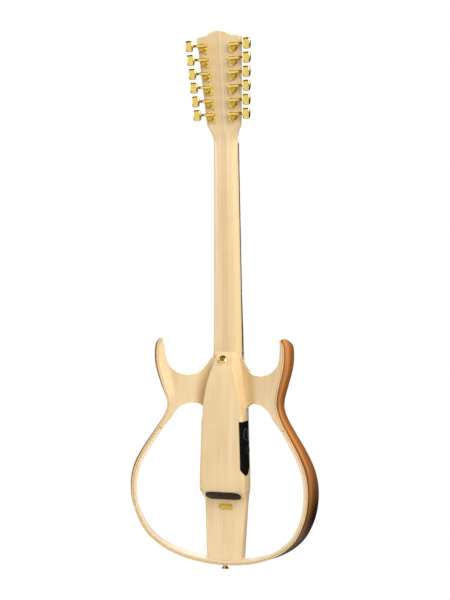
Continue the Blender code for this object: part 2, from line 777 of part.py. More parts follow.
def make_fretboard(look, neck_frame):
    """Board with its frets: the front face is crossed by low ridges, one for each fret."""
    end = NUT_DROP + fret_drop(FRETS) + BOARD_TAIL
    top = -GAP
    surface = -GAP - BOARD_THICKNESS
    crown = surface - FRET_HEIGHT
    stations = [(-NUT_DROP - GAP, surface)]
    for number in range(1, FRETS + 1):
        drop = NUT_DROP + fret_drop(number)
        stations.append((-drop + FRET_WIDTH / 2, surface))
        stations.append((-drop + FRET_WIDTH / 4, crown))
        stations.append((-drop - FRET_WIDTH / 4, crown))
        stations.append((-drop - FRET_WIDTH / 2, surface))
    stations.append((-end, surface))
    rings = []
    for height, front in stations:
        half = neck_half_width(height)
        corners = ((half, top), (half, front), (-half, front), (-half, top))
        rings.append([Vector((x, y, height)) for x, y in corners])
    bm = bmesh.new()
    loft(bm, rings)
    return add_object("fretboard", bm, look, neck_frame)


def make_nut(look, neck_frame):
    half = NUT_WIDTH / 2 - 0.0004
    bm = bmesh.new()
    foot = -NUT_DROP
    box(bm, (-half, -BOARD_THICKNESS - NUT_RISE, foot), (half, -GAP, foot + NUT_THICKNESS))
    nut = add_object("nut", bm, look, neck_frame)
    bevel(nut, 0.0006)
    return nut


def make_block(look, body_frame):
    front = FRONT_PLATE_THICKNESS + GAP
    bm = bmesh.new()
    rings = [block_section(*section, front) for section in reversed(BLOCK_SECTIONS)]
    loft(bm, rings)
    return add_object("centre_block", bm, look, body_frame)


def make_front_plate(look, body_frame):
    bm = bmesh.new()
    rings = []
    for drop, half, *_ in reversed(BLOCK_SECTIONS):
        back = FRONT_PLATE_THICKNESS
        corners = ((half, 0), (half, back), (-half, back), (-half, 0))
        rings.append([Vector((x, y, drop)) for x, y in corners])
    loft(bm, rings)
    return add_object("front_plate", bm, look, body_frame)


def make_tail_cutter(body_frame):
    """Trims block and plate to the inside of the rim at the bottom."""
    whole, normals = rim_curve()
    inner = inset_curve(whole, normals, VENEER_THICKNESS + BAND_THICKNESS + 2 * GAP)
    low = [p for p in inner if abs(p[0]) < 0.09 and p[1] < -0.3]
    outline = low + [Vector((low[-1][0], -0.45)), Vector((low[0][0], -0.45))]
    bm = bmesh.new()
    rings = [[Vector((p[0], depth, p[1])) for p in outline] for depth in (-0.02, 0.08)]
    loft(bm, rings)
    return add_object("tail_cutter", bm, None, body_frame, helper=True)


def panel_profile(half_width, grow, margin):
    """Points down the block's bass side and round its back corner, moved outwards by grow."""
    reach = CORNER + grow
    centre = (-half_width + CORNER, BLOCK_DEPTH - CORNER)
    found = [(-half_width - grow, PANEL_FRONT - margin)]
    for i in range(5):
        angle = math.pi / 8 * i
        found.append((centre[0] - reach * math.cos(angle), centre[1] + reach * math.sin(angle)))
    found[-1] = (found[-1][0] + margin, found[-1][1])
    return found


def panel_body(name, look, body_frame, proud, depth, margin):
    """The panel's solid, or with a margin the recess that it sits in. Its lower end is pointed."""
    low = PANEL_BOTTOM - PANEL_POINT - margin
    bm = bmesh.new()
    rings = []
    for drop in (low, PANEL_TOP + margin):
        half = between(BLOCK_SECTIONS, drop, 1)
        outer = panel_profile(half, proud, margin)
        inner = panel_profile(half, -depth, margin)
        rings.append([Vector((x, y, drop)) for x, y in outer + list(reversed(inner))])
    loft(bm, rings)
    body = add_object(name, bm, look, body_frame, helper=look is None)
    middle = (PANEL_FRONT + BLOCK_DEPTH) / 2
    bm = bmesh.new()
    outline = (
        (PANEL_FRONT - 0.01, PANEL_TOP + 0.01),
        (BLOCK_DEPTH + 0.01, PANEL_TOP + 0.01),
        (BLOCK_DEPTH + 0.01, PANEL_BOTTOM + PANEL_POINT - margin),
        (BLOCK_DEPTH - 0.003, PANEL_BOTTOM - margin),
        (middle + 0.009, low + 0.0025),
        (middle, low + 0.0005),
        (middle - 0.007, low + 0.0025),
        (PANEL_FRONT + 0.003, PANEL_BOTTOM - margin),
        (PANEL_FRONT - 0.01, PANEL_BOTTOM - margin),
    )
    loft(bm, [[Vector((x, y, z)) for y, z in outline] for x in (-0.07, 0.0)])
    cut(body, add_object(f"{name}_outline", bm, None, body_frame, helper=True), "outline", "INTERSECT")
    return body


def make_panel(looks, block, body_frame):
    panel = panel_body("preamp_panel", looks["panel"], body_frame, PANEL_PROUD, PANEL_THICKNESS, 0.0)
    recess = panel_body("panel_recess_cutter", None, body_frame, 0.004, PANEL_THICKNESS + GAP, GAP)
    cut(block, recess, "panel_recess")
    dial_x = -between(BLOCK_SECTIONS, DIAL_DROP, 1) - PANEL_PROUD
    outward = Matrix.Rotation(math.radians(-90), 4, "Y")
    spot = Matrix.Translation((dial_x, DIAL_DEPTH_PLACE, DIAL_DROP))
    bm = bmesh.new()
    hub = -PANEL_THICKNESS - DIAL_HUB_REACH
    profile = (
        (DIAL_HUB_RADIUS, hub),
        (DIAL_HUB_RADIUS, GAP),
        (DIAL_RADIUS, GAP),
        (DIAL_RADIUS, DIAL_RISE - 0.0008),
        (DIAL_RADIUS - 0.0008, DIAL_RISE),
    )
    turned(bm, profile, 20, outward)
    add_object("volume_dial", bm, looks["control"], body_frame, spot)
    bm = bmesh.new()
    hole = DIAL_HUB_RADIUS + GAP
    turned(bm, ((hole, hub - GAP), (hole, 0.01)), 14, spot @ outward)
    hub_hole = add_object("dial_hole_cutter", bm, None, body_frame, helper=True)
    cut(panel, hub_hole, "dial_hole")
    cut(block, hub_hole, "dial_pocket")
    slider_x = -between(BLOCK_SECTIONS, SLIDER_DROP, 1) - PANEL_PROUD
    spot = Matrix.Translation((slider_x, DIAL_DEPTH_PLACE, SLIDER_DROP))
    stem = SLIDER_STEM / 2
    floor = PANEL_THICKNESS + SLIDER_STEM / 2
    bm = bmesh.new()
    half_l, half_w = SLIDER_LENGTH / 2, SLIDER_WIDTH / 2
    box(bm, (-GAP - SLIDER_RISE, -half_l, -half_w), (-GAP, half_l, half_w))
    slider = add_object("tone_slider", bm, looks["control"], body_frame, spot)
    bevel(slider, 0.0007)
    bm = bmesh.new()
    box(bm, (-0.001, -stem, -stem), (floor, stem, stem))
    cut(slider, add_object("slider_stem_master", bm, None, body_frame, spot, helper=True), "stem", "UNION")
    reach = SLIDER_TRAVEL + stem + GAP
    bm = bmesh.new()
    box(bm, (-0.01, -reach, -stem - GAP), (floor + GAP, reach, stem + GAP))
    slot = add_object("slider_slot_cutter", bm, None, body_frame, spot, helper=True)
    cut(panel, slot, "slider_slot")
    cut(block, slot, "slider_pocket")


def rounded_slab(bm, width, height, low, high, segments=6):
    """A slab with round ends: width along X, height along Y, thickness along Z."""
    radius = height / 2
    ring = []
    for centre, turn in ((width / 2 - radius, -90), (-width / 2 + radius, 90)):
        for i in range(segments + 1):
            angle = math.radians(turn + 180 * i / segments)
            ring.append((centre + radius * math.cos(angle), radius * math.sin(angle)))
    loft(bm, [[Vector((x, y, z)) for x, y in ring] for z in (low, high)])


def step_slope():
    return math.atan2(STEP_TOP - STEP_BOTTOM, BLOCK_DEPTH - STEP_DEPTH)


def step_frame(body_frame):
    """Frame on the middle of the sloping step: X across, Y up the slope, Z out of the block."""
    slope = step_slope()
    middle = Vector((0, (BLOCK_DEPTH + STEP_DEPTH) / 2, (STEP_TOP + STEP_BOTTOM) / 2))
    up = Vector((0, math.cos(slope), math.sin(slope)))
    out = Vector((0, math.sin(slope), -math.cos(slope)))
    across = up.cross(out)
    columns = Matrix((across, up, out)).transposed().to_4x4()
    return empty("step_frame", Matrix.Translation(middle) @ columns, body_frame)


def battery_pocket_depth():
    """How deep the drawer goes, so that a floor of wood is left between its bay and the front plate."""
    edge = BATTERY_WALL + GAP
    front = FRONT_PLATE_THICKNESS + GAP + BATTERY_BAY_FLOOR
    room = (BLOCK_DEPTH + STEP_DEPTH) / 2 - front
    corner = math.cos(step_slope()) * (BATTERY_HEIGHT / 2 + edge)
    return (room - corner) / math.sin(step_slope()) - edge


def make_battery(looks, block, body_frame):
    frame = step_frame(body_frame)
    half_w = BATTERY_WIDTH / 2
    half_h = BATTERY_HEIGHT / 2
    wall = BATTERY_WALL
    deep = battery_pocket_depth()
    lip = FLANGE_THICKNESS + GAP
    bm = bmesh.new()
    box(bm, (-half_w - wall, -half_h - wall, -deep - wall), (half_w + wall, half_h + wall, lip / 2))
    sleeve = add_object("battery_box", bm, looks["black_plastic"], frame)
    bm = bmesh.new()
    rounded_slab(bm, BATTERY_FLANGE_WIDTH, BATTERY_FLANGE_HEIGHT, GAP, lip)
    cut(sleeve, add_object("flange_master", bm, None, frame, helper=True), "flange", "UNION")
    bm = bmesh.new()
    box(bm, (-half_w, -half_h, -deep), (half_w, half_h, 2 * lip))
    cut(sleeve, add_object("drawer_bay_cutter", bm, None, frame, helper=True), "drawer_bay")
    bm = bmesh.new()
    edge = wall + GAP
    box(bm, (-half_w - edge, -half_h - edge, -deep - edge), (half_w + edge, half_h + edge, deep))
    cut(block, add_object("battery_bay_cutter", bm, None, frame, helper=True), "battery_bay")
    tray_w = half_w - GAP
    tray_h = half_h - GAP
    tray = deep - 2 * GAP
    bm = bmesh.new()
    box(bm, (-tray_w, -tray_h, -tray), (tray_w, tray_h, lip))
    drawer = add_object("battery_drawer", bm, looks["black_plastic"], frame)
    bm = bmesh.new()
    inner_w = tray_w - DRAWER_WALL
    inner_h = tray_h - DRAWER_WALL
    box(bm, (-inner_w, -BATTERY_HEIGHT, DRAWER_WALL - tray), (inner_w, inner_h, -DRAWER_WALL))
    cut(drawer, add_object("battery_space_cutter", bm, None, frame, helper=True), "battery_space")
    bm = bmesh.new()
    half_n = FINGER_NOTCH_WIDTH / 2
    upper = half_h - FINGER_NOTCH_INSET
    lower = upper - FINGER_NOTCH_HEIGHT
    box(bm, (-half_n, lower, lip - FINGER_NOTCH_DEPTH), (half_n, upper, 2 * lip))
    cut(drawer, add_object("finger_notch_cutter", bm, None, frame, helper=True), "finger_notch")


def strap_button(name, look, parent, matrix):
    """Turned button on a wood screw: the base is at local Z 0 and the screw runs to -Z."""
    radius = STRAP_BUTTON_RADIUS
    length = STRAP_BUTTON_LENGTH
    profile = (
        (STRAP_SCREW_RADIUS, -STRAP_SCREW_LENGTH),
        (STRAP_SCREW_RADIUS, GAP),
        (radius * 0.95, GAP),
        (radius * 0.95, length * 0.12),
        (radius * 0.62, length * 0.26),
        (radius * 0.55, length * 0.50),
        (radius * 0.80, length * 0.68),
        (radius, length * 0.82),
        (radius * 0.96, length * 0.93),
        (radius * 0.72, length),
    )
    bm = bmesh.new()
    turned(bm, profile, 16, matrix)
    return add_object(name, bm, look, parent)


def screw_cutter(name, parent, matrix):
    bm = bmesh.new()
    radius = STRAP_SCREW_RADIUS + GAP
    turned(bm, ((radius, -STRAP_SCREW_LENGTH - GAP), (radius, 0.006)), 12, matrix)
    return add_object(name, bm, None, parent, helper=True)


def heel_button_matrix():
    """The heel button stands square on the heel's slope."""
    upper, lower = BLOCK_SECTIONS[1], BLOCK_SECTIONS[2]
    slope = math.atan2(lower[2] - upper[2], upper[0] - lower[0])
    depth = between(BLOCK_SECTIONS, HEEL_BUTTON_DROP, 2)
    spot = Matrix.Translation((0, depth, HEEL_BUTTON_DROP))
    return spot @ Matrix.Rotation(slope - math.pi / 2, 4, "X")


def end_button_matrix():
    depth = (rim_front_depth(0) + rim_back_depth(0)) / 2
    spot = Matrix.Translation((0, depth, RIM_OUTLINE[-1][1]))
    return spot @ Matrix.Rotation(math.pi, 4, "X")


def string_top(body_in_neck):
    """Height of the string plane over the front plane at nut and saddle, as Y in the neck's frame."""
    saddle = Vector((0, -BRIDGE_HEIGHT - SADDLE_RISE, SADDLE_DROP))
    return -BOARD_THICKNESS - NUT_RISE, body_in_neck @ saddle


def string_offsets(course, member):
    """X at nut and saddle of one string: course 1 is on the treble side, member 0 or 1 of its pair."""
    step = course / (COURSES - 1) * 2 - 1
    pair = member - 0.5
    at_nut = -step * (NUT_WIDTH / 2 - STRING_MARGIN) + pair * PAIR_SPACING_NUT
    at_saddle = -step * (SADDLE_WIDTH / 2 - 0.005) + pair * PAIR_SPACING_BRIDGE
    return at_nut, at_saddle


def string_post(course, member):
    """The side and number of a string's tuner: the outer courses go to the posts nearest the nut."""
    if course < COURSES // 2:
        return 1, course * 2 + (1 - member)
    return -1, (COURSES - 1 - course) * 2 + member


def tube(bm, points, radius, sides):
    """A tube of constant radius along the points, with flat ends."""
    rings = []
    for i, point in enumerate(points):
        ahead = points[min(i + 1, len(points) - 1)] - points[max(i - 1, 0)]
        across = ahead.cross(Vector((1, 0, 0)))
        if across.length < 1e-9:
            across = Vector((0, 1, 0))
        across.normalize()
        other = ahead.cross(across).normalized()
        ring = []
        for k in range(sides):
            angle = 2 * math.pi * k / sides
            ring.append(point + radius * (across * math.cos(angle) + other * math.sin(angle)))
        rings.append(ring)
    loft(bm, rings)


def make_strings(look, neck_frame, head_in_neck, body_in_neck):
    """Each course is a pair of strings that meet at their ball ends behind the bridge."""
    sides = 6
    nut_y, saddle = string_top(body_in_neck)
    for course in range(COURSES):
        ends = []
        parts = []
        for member in (0, 1):
            at_nut, at_saddle = string_offsets(course, member)
            side, number = string_post(course, member)
            octave = course >= UNISON_COURSES and number % 2 == 1
            radius = STRING_RADII[course] * (OCTAVE_SHARE if octave else 1.0)
            spot = head_in_neck @ post_spot(side, number)
            reach = POST_RADIUS - POST_WAIST + radius + GAP
            leave = math.radians(WRAP_ANGLE)
            wrap = WRAP_FAR if number % 2 else WRAP_NEAR
            off_post = Vector((-side * reach * math.cos(leave), wrap - POST_HEIGHT, -reach * math.sin(leave)))
            waist = spot @ off_post
            lift = radius + GAP
            bridge_end = SADDLE_DROP - BRIDGE_LENGTH / 2 - 0.004
            anchor = body_in_neck @ Vector((at_saddle, -BRIDGE_HEIGHT * 0.45, bridge_end))
            over_end = body_in_neck @ Vector((at_saddle, -BRIDGE_HEIGHT - lift, bridge_end + 0.003))
            path = [
                waist,
                Vector((at_nut, nut_y - lift, NUT_THICKNESS - NUT_DROP)),
                Vector((at_nut, nut_y - lift, -NUT_DROP)),
                Vector((at_saddle, saddle[1] - lift, saddle[2] + SADDLE_THICKNESS / 2)),
                Vector((at_saddle, saddle[1] - lift, saddle[2] - SADDLE_THICKNESS / 2)),
                over_end,
                anchor,
            ]
            bm = bmesh.new()
            tube(bm, path, radius, sides)
            ends.append(anchor)
            parts.append(bm)
        name = f"string_course_{course + 1}"
        strings = add_object(name, parts[0], look, neck_frame)
        second = add_object(f"{name}_twin", parts[1], None, neck_frame, helper=True)
        cut(strings, second, "twin", "UNION")
        bm = bmesh.new()
        low, high = sorted((ends[0][0], ends[1][0]))
        spot = Matrix.Translation((0, ends[0][1], ends[0][2]))
        along = spot @ Matrix.Rotation(math.radians(90), 4, "Y")
        profile = ((BALL_RADIUS, low - BALL_REACH), (BALL_RADIUS, high + BALL_REACH))
        turned(bm, profile, 10, along)
        cut(strings, add_object(f"{name}_ball", bm, None, neck_frame, helper=True), "ball_ends", "UNION")


def make_bridge(looks, body_frame):
    centre = SADDLE_DROP
    half_l = BRIDGE_LENGTH / 2
    half_w = BRIDGE_WIDTH / 2
    bm = bmesh.new()
    rings = []
    for z, height in (
        (centre - half_l, BRIDGE_HEIGHT * 0.75),
        (centre - half_l + 0.005, BRIDGE_HEIGHT),
        (centre + half_l - 0.005, BRIDGE_HEIGHT),
        (centre + half_l, BRIDGE_HEIGHT * 0.6),
    ):
        top_w = half_w - 0.002
        corners = ((half_w, -GAP), (top_w, -height), (-top_w, -height), (-half_w, -GAP))
        rings.append([Vector((x, y, z)) for x, y in corners])
    loft(bm, rings)
    bridge = add_object("bridge", bm, looks["dark_wood"], body_frame)
    slot_w = SADDLE_WIDTH / 2 + GAP
    slot_t = SADDLE_THICKNESS / 2 + GAP
    bm = bmesh.new()
    box(bm, (-slot_w, -0.03, centre - slot_t), (slot_w, -BRIDGE_HEIGHT + SADDLE_SEAT + GAP, centre + slot_t))
    cut(bridge, add_object("saddle_slot_cutter", bm, None, body_frame, helper=True), "saddle_slot")
    bm = bmesh.new()
    low = (-SADDLE_WIDTH / 2, -BRIDGE_HEIGHT - SADDLE_RISE, centre - SADDLE_THICKNESS / 2)
    high = (SADDLE_WIDTH / 2, -BRIDGE_HEIGHT + SADDLE_SEAT, centre + SADDLE_THICKNESS / 2)
    box(bm, low, high)
    saddle = add_object("saddle", bm, looks["bone"], body_frame)
    bevel(saddle, 0.0005)


def build():
    clear_scene()
    looks = {
        "maple": material("maple", (0.83, 0.64, 0.41), 0.38),
        "veneer": material("brown_veneer", (0.42, 0.16, 0.045), 0.35),
        "pale_wood": material("pale_lamination", (0.80, 0.62, 0.40), 0.42),
        "top": material("front_wood", (0.36, 0.14, 0.05), 0.40),
        "dark_wood": material("dark_fingerboard_wood", (0.06, 0.03, 0.02), 0.50),
        "bone": material("bone_white", (0.85, 0.82, 0.74), 0.40),
        "gold": material("gold_plate", (0.83, 0.58, 0.20), 0.22, 1.0),
        "string": material("bronze_string", (0.70, 0.52, 0.33), 0.30, 1.0),
        "panel": material("black_panel", (0.012, 0.013, 0.015), 0.45),
        "control": material("black_control", (0.02, 0.02, 0.02), 0.35),
        "black_plastic": material("black_plastic", (0.03, 0.022, 0.018), 0.42),
    }
    neck_matrix = Matrix.Rotation(-NECK_TILT, 4, "X")
    head_foot = Matrix.Translation((0, 0, NUT_THICKNESS - NUT_DROP))
    head_in_neck = head_foot @ Matrix.Rotation(-HEAD_TILT, 4, "X")
    body_matrix = Matrix.Translation((0, -JOINT_DROP * math.tan(NECK_TILT), -JOINT_DROP))
    body_in_neck = neck_matrix.inverted() @ body_matrix
    neck_frame = empty("neck_frame", neck_matrix)
    head_frame = empty("head_frame", head_in_neck, neck_frame)
    body_frame = empty("body_frame", body_matrix)
    bpy.context.view_layer.update()

    neck = make_neck(looks["maple"], neck_frame, head_in_neck, body_in_neck)
    cut(neck, make_barrel_holes(head_frame), "barrel_holes")
    make_tuners(looks, head_frame)
    make_fretboard(looks["dark_wood"], neck_frame)
    make_nut(looks["bone"], neck_frame)
    make_strings(looks["string"], neck_frame, head_in_neck, body_in_neck)

    block = make_block(looks["maple"], body_frame)
    plate = make_front_plate(looks["top"], body_frame)
    tail = make_tail_cutter(body_frame)
    cut(block, tail, "tail")
    cut(plate, tail, "tail")
    make_wing("treble_wing", 1, looks["maple"], body_frame)
    make_wing("bass_wing", -1, looks["maple"], body_frame)

    whole, normals = rim_curve()
    bm = bmesh.new()
    rim_strip(bm, whole, normals, 0.0, VENEER_THICKNESS, 0.0007)
    veneer = add_object("side_veneer", bm, looks["veneer"], body_frame)
    kept = [i for i, p in enumerate(whole) if p[1] < BAND_TOP + 1e-6]
    first, last = kept[0], kept[-1] + 1
    start = VENEER_THICKNESS + GAP
    bm = bmesh.new()
    rim_strip(bm, whole[first:last], normals[first:last], start, start + BAND_THICKNESS, 0.0008)
    band = add_object("side_band", bm, looks["pale_wood"], body_frame)

    make_panel(looks, block, body_frame)
    make_battery(looks, block, body_frame)
    make_bridge(looks, body_frame)
    heel = heel_button_matrix()
    strap_button("strap_button_heel", looks["gold"], body_frame, heel)
    cut(block, screw_cutter("heel_screw_cutter", body_frame, heel), "heel_screw")
    end = end_button_matrix()
    strap_button("strap_button_end", looks["gold"], body_frame, end)
    end_screw = screw_cutter("end_screw_cutter", body_frame, end)
    for obj in (veneer, band, block):
        cut(obj, end_screw, "end_screw")


build()
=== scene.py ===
import math

import bmesh
import bpy
from mathutils import Matrix, Vector


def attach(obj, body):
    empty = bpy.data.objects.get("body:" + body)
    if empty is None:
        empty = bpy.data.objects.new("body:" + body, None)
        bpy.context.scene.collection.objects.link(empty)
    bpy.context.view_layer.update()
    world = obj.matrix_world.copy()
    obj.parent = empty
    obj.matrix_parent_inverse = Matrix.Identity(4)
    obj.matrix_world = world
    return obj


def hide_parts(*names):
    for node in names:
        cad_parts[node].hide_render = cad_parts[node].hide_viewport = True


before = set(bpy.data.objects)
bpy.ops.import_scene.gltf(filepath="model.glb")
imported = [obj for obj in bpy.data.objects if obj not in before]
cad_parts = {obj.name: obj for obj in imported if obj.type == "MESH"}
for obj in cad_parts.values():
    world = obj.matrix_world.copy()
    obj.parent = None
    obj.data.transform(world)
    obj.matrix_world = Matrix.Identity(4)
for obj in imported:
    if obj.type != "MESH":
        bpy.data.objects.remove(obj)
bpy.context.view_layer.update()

# The view: the guitar hangs upright and is seen from behind, turned a little to its bass side.
# The camera is level, with its eye a little above the horns.
eye = bpy.data.objects.new("camera", bpy.data.cameras.new("camera"))
bpy.context.scene.collection.objects.link(eye)
eye.location = (-0.7397, 2.2831, -0.317)
eye.rotation_euler = (math.radians(90), 0, math.radians(198))
eye.data.sensor_fit = "AUTO"
eye.data.sensor_width = 36.0
eye.data.lens = 76.3
bpy.context.scene.camera = eye
bpy.context.scene.view_settings.view_transform = "Standard"


# The studio: a large soft lamp high on the bass side, a weaker one on the treble side and one for
# the front. The surround is white to the lens, and metal sees a bright wall among dark ones.
class Wire:
    """An output of a node, which takes part in sums as a number does."""

    def __init__(self, nodes, socket):
        self.nodes = nodes
        self.socket = socket

    def math(self, operation, a, b=0.0):
        return self.nodes.add("ShaderNodeMath", {"operation": operation}, {0: a, 1: b})

    def __add__(self, other):
        return self.math("ADD", self, other)

    def __sub__(self, other):
        return self.math("SUBTRACT", self, other)

    def __rsub__(self, other):
        return self.math("SUBTRACT", other, self)

    def __mul__(self, other):
        return self.math("MULTIPLY", self, other)

    def __gt__(self, other):
        return self.math("GREATER_THAN", self, other)

    def __abs__(self):
        return self.math("ABSOLUTE", self)

    __radd__ = __add__
    __rmul__ = __mul__


class Nodes:
    """The nodes of a material or of the surround."""

    def __init__(self, tree):
        self.tree = tree

    def add(self, kind, settings=None, values=None, output=0):
        node = self.tree.nodes.new(kind)
        for key, value in (settings or {}).items():
            setattr(node, key, value)
        for key, value in (values or {}).items():
            if isinstance(value, Wire):
                self.tree.links.new(value.socket, node.inputs[key])
            else:
                node.inputs[key].default_value = value
        return Wire(self, node.outputs[output]) if node.outputs else None

    def parts(self, vector):
        return [self.add("ShaderNodeSeparateXYZ", {}, {0: vector}, output=i) for i in range(3)]

    def rise(self, value, low, high):
        """Goes smoothly from 0 to 1 as a value goes from low to high."""
        settings = {"interpolation_type": "SMOOTHSTEP"}
        return self.add("ShaderNodeMapRange", settings, {"Value": value, "From Min": low, "From Max": high})


surround = bpy.data.worlds.new("surround")
surround.use_nodes = True
bpy.context.scene.world = surround
surround.node_tree.nodes.clear()
air = Nodes(surround.node_tree)
seen = air.add("ShaderNodeLightPath", output=0)
mirrored = air.add("ShaderNodeLightPath", output=3)
through = air.add("ShaderNodeLightPath", output=6)
direct = (seen + through) > 0.5
sideways, backwards, upward = air.parts(air.add("ShaderNodeTexCoord", output=0))
ambient = 0.28 + 0.16 * air.rise(upward, -0.45, 0.45) + 0.55 * air.rise(sideways, 0.45, 0.85)
bright_way = Vector((0.30, 0.87, -0.30)).normalized()
toward = sideways * bright_way[0] + backwards * bright_way[1] + upward * bright_way[2]
in_metal = 0.04 + 0.96 * air.rise(toward, 0.60, 0.88)
softly = ambient + (in_metal - ambient) * mirrored
strength = softly + (1.0 - softly) * direct
glow = air.add("ShaderNodeBackground", {}, {"Color": (1, 1, 1, 1), "Strength": strength})
air.add("ShaderNodeOutputWorld", {}, {"Surface": glow})


def soft_lamp(name, place, aim, size, watts):
    lamp = bpy.data.lights.new(name, "AREA")
    lamp.shape = "SQUARE"
    lamp.size = size
    lamp.energy = watts
    holder = bpy.data.objects.new(name, lamp)
    bpy.context.scene.collection.objects.link(holder)
    holder.location = place
    holder.rotation_euler = (Vector(aim) - Vector(place)).to_track_quat("-Z", "Y").to_euler()


soft_lamp("key_lamp", (-1.85, 1.30, 1.05), (0, 0, -0.15), 2.2, 74)
soft_lamp("treble_lamp", (2.40, 0.50, 0.30), (0, 0, -0.25), 1.3, 24)
soft_lamp("front_lamp", (0.70, -2.50, 1.00), (0, 0, -0.40), 1.5, 42)


# The floor: pale painted board, one flat sheet well under the hanging guitar. It is out of the
# photographed view, and nothing stands on it.
def tone(code):
    """A colour as seen on a screen, turned to the light values that a material takes."""
    parts = [int(code[i : i + 2], 16) / 255 for i in (0, 2, 4)]
    return (*[c / 12.92 if c < 0.04045 else ((c + 0.055) / 1.055) ** 2.4 for c in parts], 1.0)


class Finish(Nodes):
    """A surface finish: fixed values go to the shader at once, and what varies is fed to it."""

    def __init__(self, name, **fixed):
        self.material = bpy.data.materials.new(name)
        self.material.use_nodes = True
        super().__init__(self.material.node_tree)
        self.shader = self.tree.nodes["Principled BSDF"]
        for key, value in fixed.items():
            self.shader.inputs[self.label(key)].default_value = value

    def label(self, key):
        return "Specular IOR Level" if key == "specular" else key.replace("_", " ").title()

    def feed(self, **inputs):
        for key, wire in inputs.items():
            self.tree.links.new(wire.socket, self.shader.inputs[self.label(key)])

    def spot(self):
        return self.parts(self.add("ShaderNodeTexCoord", output=3))

    def vector(self, x, y, z):
        return self.add("ShaderNodeCombineXYZ", {}, {0: x, 1: y, 2: z})

    def noise(self, vector, scale, detail=2.0):
        return self.add("ShaderNodeTexNoise", {}, {"Vector": vector, "Scale": scale, "Detail": detail})

    def mix(self, mask, first, second):
        """One colour where the mask is 0 and another where it is 1, each a wire or a colour's code."""
        first, second = [tone(c) if isinstance(c, str) else c for c in (first, second)]
        settings = {"data_type": "RGBA"}
        return self.add("ShaderNodeMix", settings, {0: mask, 6: first, 7: second}, output=2)

    def bump(self, height, strength, distance):
        values = {"Height": height, "Strength": strength, "Distance": distance}
        self.feed(normal=self.add("ShaderNodeBump", {}, values))


def mottled(name, scale, detail, first, second, **fixed):
    """A finish whose tone drifts softly between two colours."""
    finish = Finish(name, **fixed)
    finish.drift = finish.noise(finish.vector(*finish.spot()), scale, detail)
    finish.feed(base_color=finish.mix(finish.drift, first, second))
    return finish


floor_paint = mottled("floor_paint", 3.0, 2.0, "f2f2f0", "fafaf8", roughness=0.8)
floor_edge = 1.1
floor_height = -1.70
sheet = bpy.data.meshes.new("floor")
corners = [(a * floor_edge, b * floor_edge, floor_height) for a, b in ((-1, -1), (1, -1), (1, 1), (-1, 1))]
sheet.from_pydata(corners, [], [(0, 1, 2, 3)])
sheet.materials.append(floor_paint.material)
floor = bpy.data.objects.new("floor", sheet)
bpy.context.scene.collection.objects.link(floor)


# Neck and headstock: one length of laminated maple, carved round behind and flat in front, with the
# headstock bent back by eight and a half degrees. It is sealed and polished to a satin gloss.
def smoothed(mesh, degrees):
    mesh.shade_smooth()
    mesh.set_sharp_from_angle(angle=math.radians(degrees))


def add_piece(name, mesh, finish, body="guitar", degrees=35, nodes=()):
    """Puts a mesh in the scene, fixed to a body, in place of the plain solids that it stands for."""
    mesh.materials.clear()
    mesh.materials.append(finish.material)
    smoothed(mesh, degrees)
    piece = bpy.data.objects.new(name, mesh)
    bpy.context.scene.collection.objects.link(piece)
    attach(piece, body)
    if nodes:
        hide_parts(*nodes)
    return piece


def add_rings(bm, rings):
    """Skins a row of rings of points, and closes both ends with a flat face."""
    rows = [[bm.verts.new(p) for p in ring] for ring in rings]
    count = len(rows[0])
    for near, far in zip(rows, rows[1:]):
        for i in range(count):
            j = (i + 1) % count
            bm.faces.new((near[i], near[j], far[j], far[i]))
    bm.faces.new(list(reversed(rows[0])))
    bm.faces.new(rows[-1])


def finished(name, bm):
    bmesh.ops.remove_doubles(bm, verts=bm.verts, dist=1e-6)
    bmesh.ops.recalc_face_normals(bm, faces=bm.faces)
    mesh = bpy.data.meshes.new(name)
    bm.to_mesh(mesh)
    bm.free()
    return mesh


def skin(name, rings):
    bm = bmesh.new()
    add_rings(bm, rings)
    return finished(name, bm)


def flowing(points, steps):
    """Points along a smooth curve through the given ones."""
    first = [2 * a - b for a, b in zip(points[0], points[1])]
    last = [2 * a - b for a, b in zip(points[-1], points[-2])]
    chain = [Vector(p) for p in (first, *points, last)]
    found = []
    for a, b, c, d in zip(chain, chain[1:], chain[2:], chain[3:]):
        for step in range(steps):
            t = step / steps
            line = 2 * b + (c - a) * t + (2 * a - 5 * b + 4 * c - d) * t**2
            found.append((line + (3 * b - a - 3 * c + d) * t**3) / 2)
    found.append(Vector(points[-1]))
    return found


def squarish(value, square):
    """A sine or cosine drawn out towards the corners of a square."""
    return math.copysign(abs(value) ** (2 / square), value)


def neck_ring(half_width, depth, square, height, place):
    steps = 44
    ring = []
    for i in range(steps + 1):
        angle = math.pi * i / steps
        across = half_width * squarish(math.cos(angle), square)
        behind = depth * math.sin(angle) ** (2 / square) if 0 < i < steps else 0.0
        ring.append(place @ Vector((across, behind, height)))
    return ring


nut_drop = 0.022
joint_drop = 0.415
scale_length = 0.634
nut_half_width = 0.02325
heel_half_width = 0.0275
neck_lean, head_lean, head_drop = math.radians(-2), math.radians(-8.5), 0.017
neck_place = Matrix.Rotation(neck_lean, 4, "X")
head_place = neck_place @ Matrix.Translation((0, 0, -head_drop)) @ Matrix.Rotation(head_lean, 4, "X")
body_place = Matrix.Translation((0, joint_drop * math.tan(neck_lean), -joint_drop))


def neck_half(drop):
    """Half width of neck and fretboard at a drop below the origin."""
    return nut_half_width + (heel_half_width - nut_half_width) * (drop - nut_drop) / (joint_drop - nut_drop)


foot_height, shoulder_height, peak_rise = 0.0365, 0.1925, 0.0112
foot_half, shoulder_half, peak_half = 0.0330, 0.0425, 0.0070
head_thickness = 0.0135


def head_half(height):
    return foot_half + (shoulder_half - foot_half) * (height - foot_height) / (shoulder_height - foot_height)


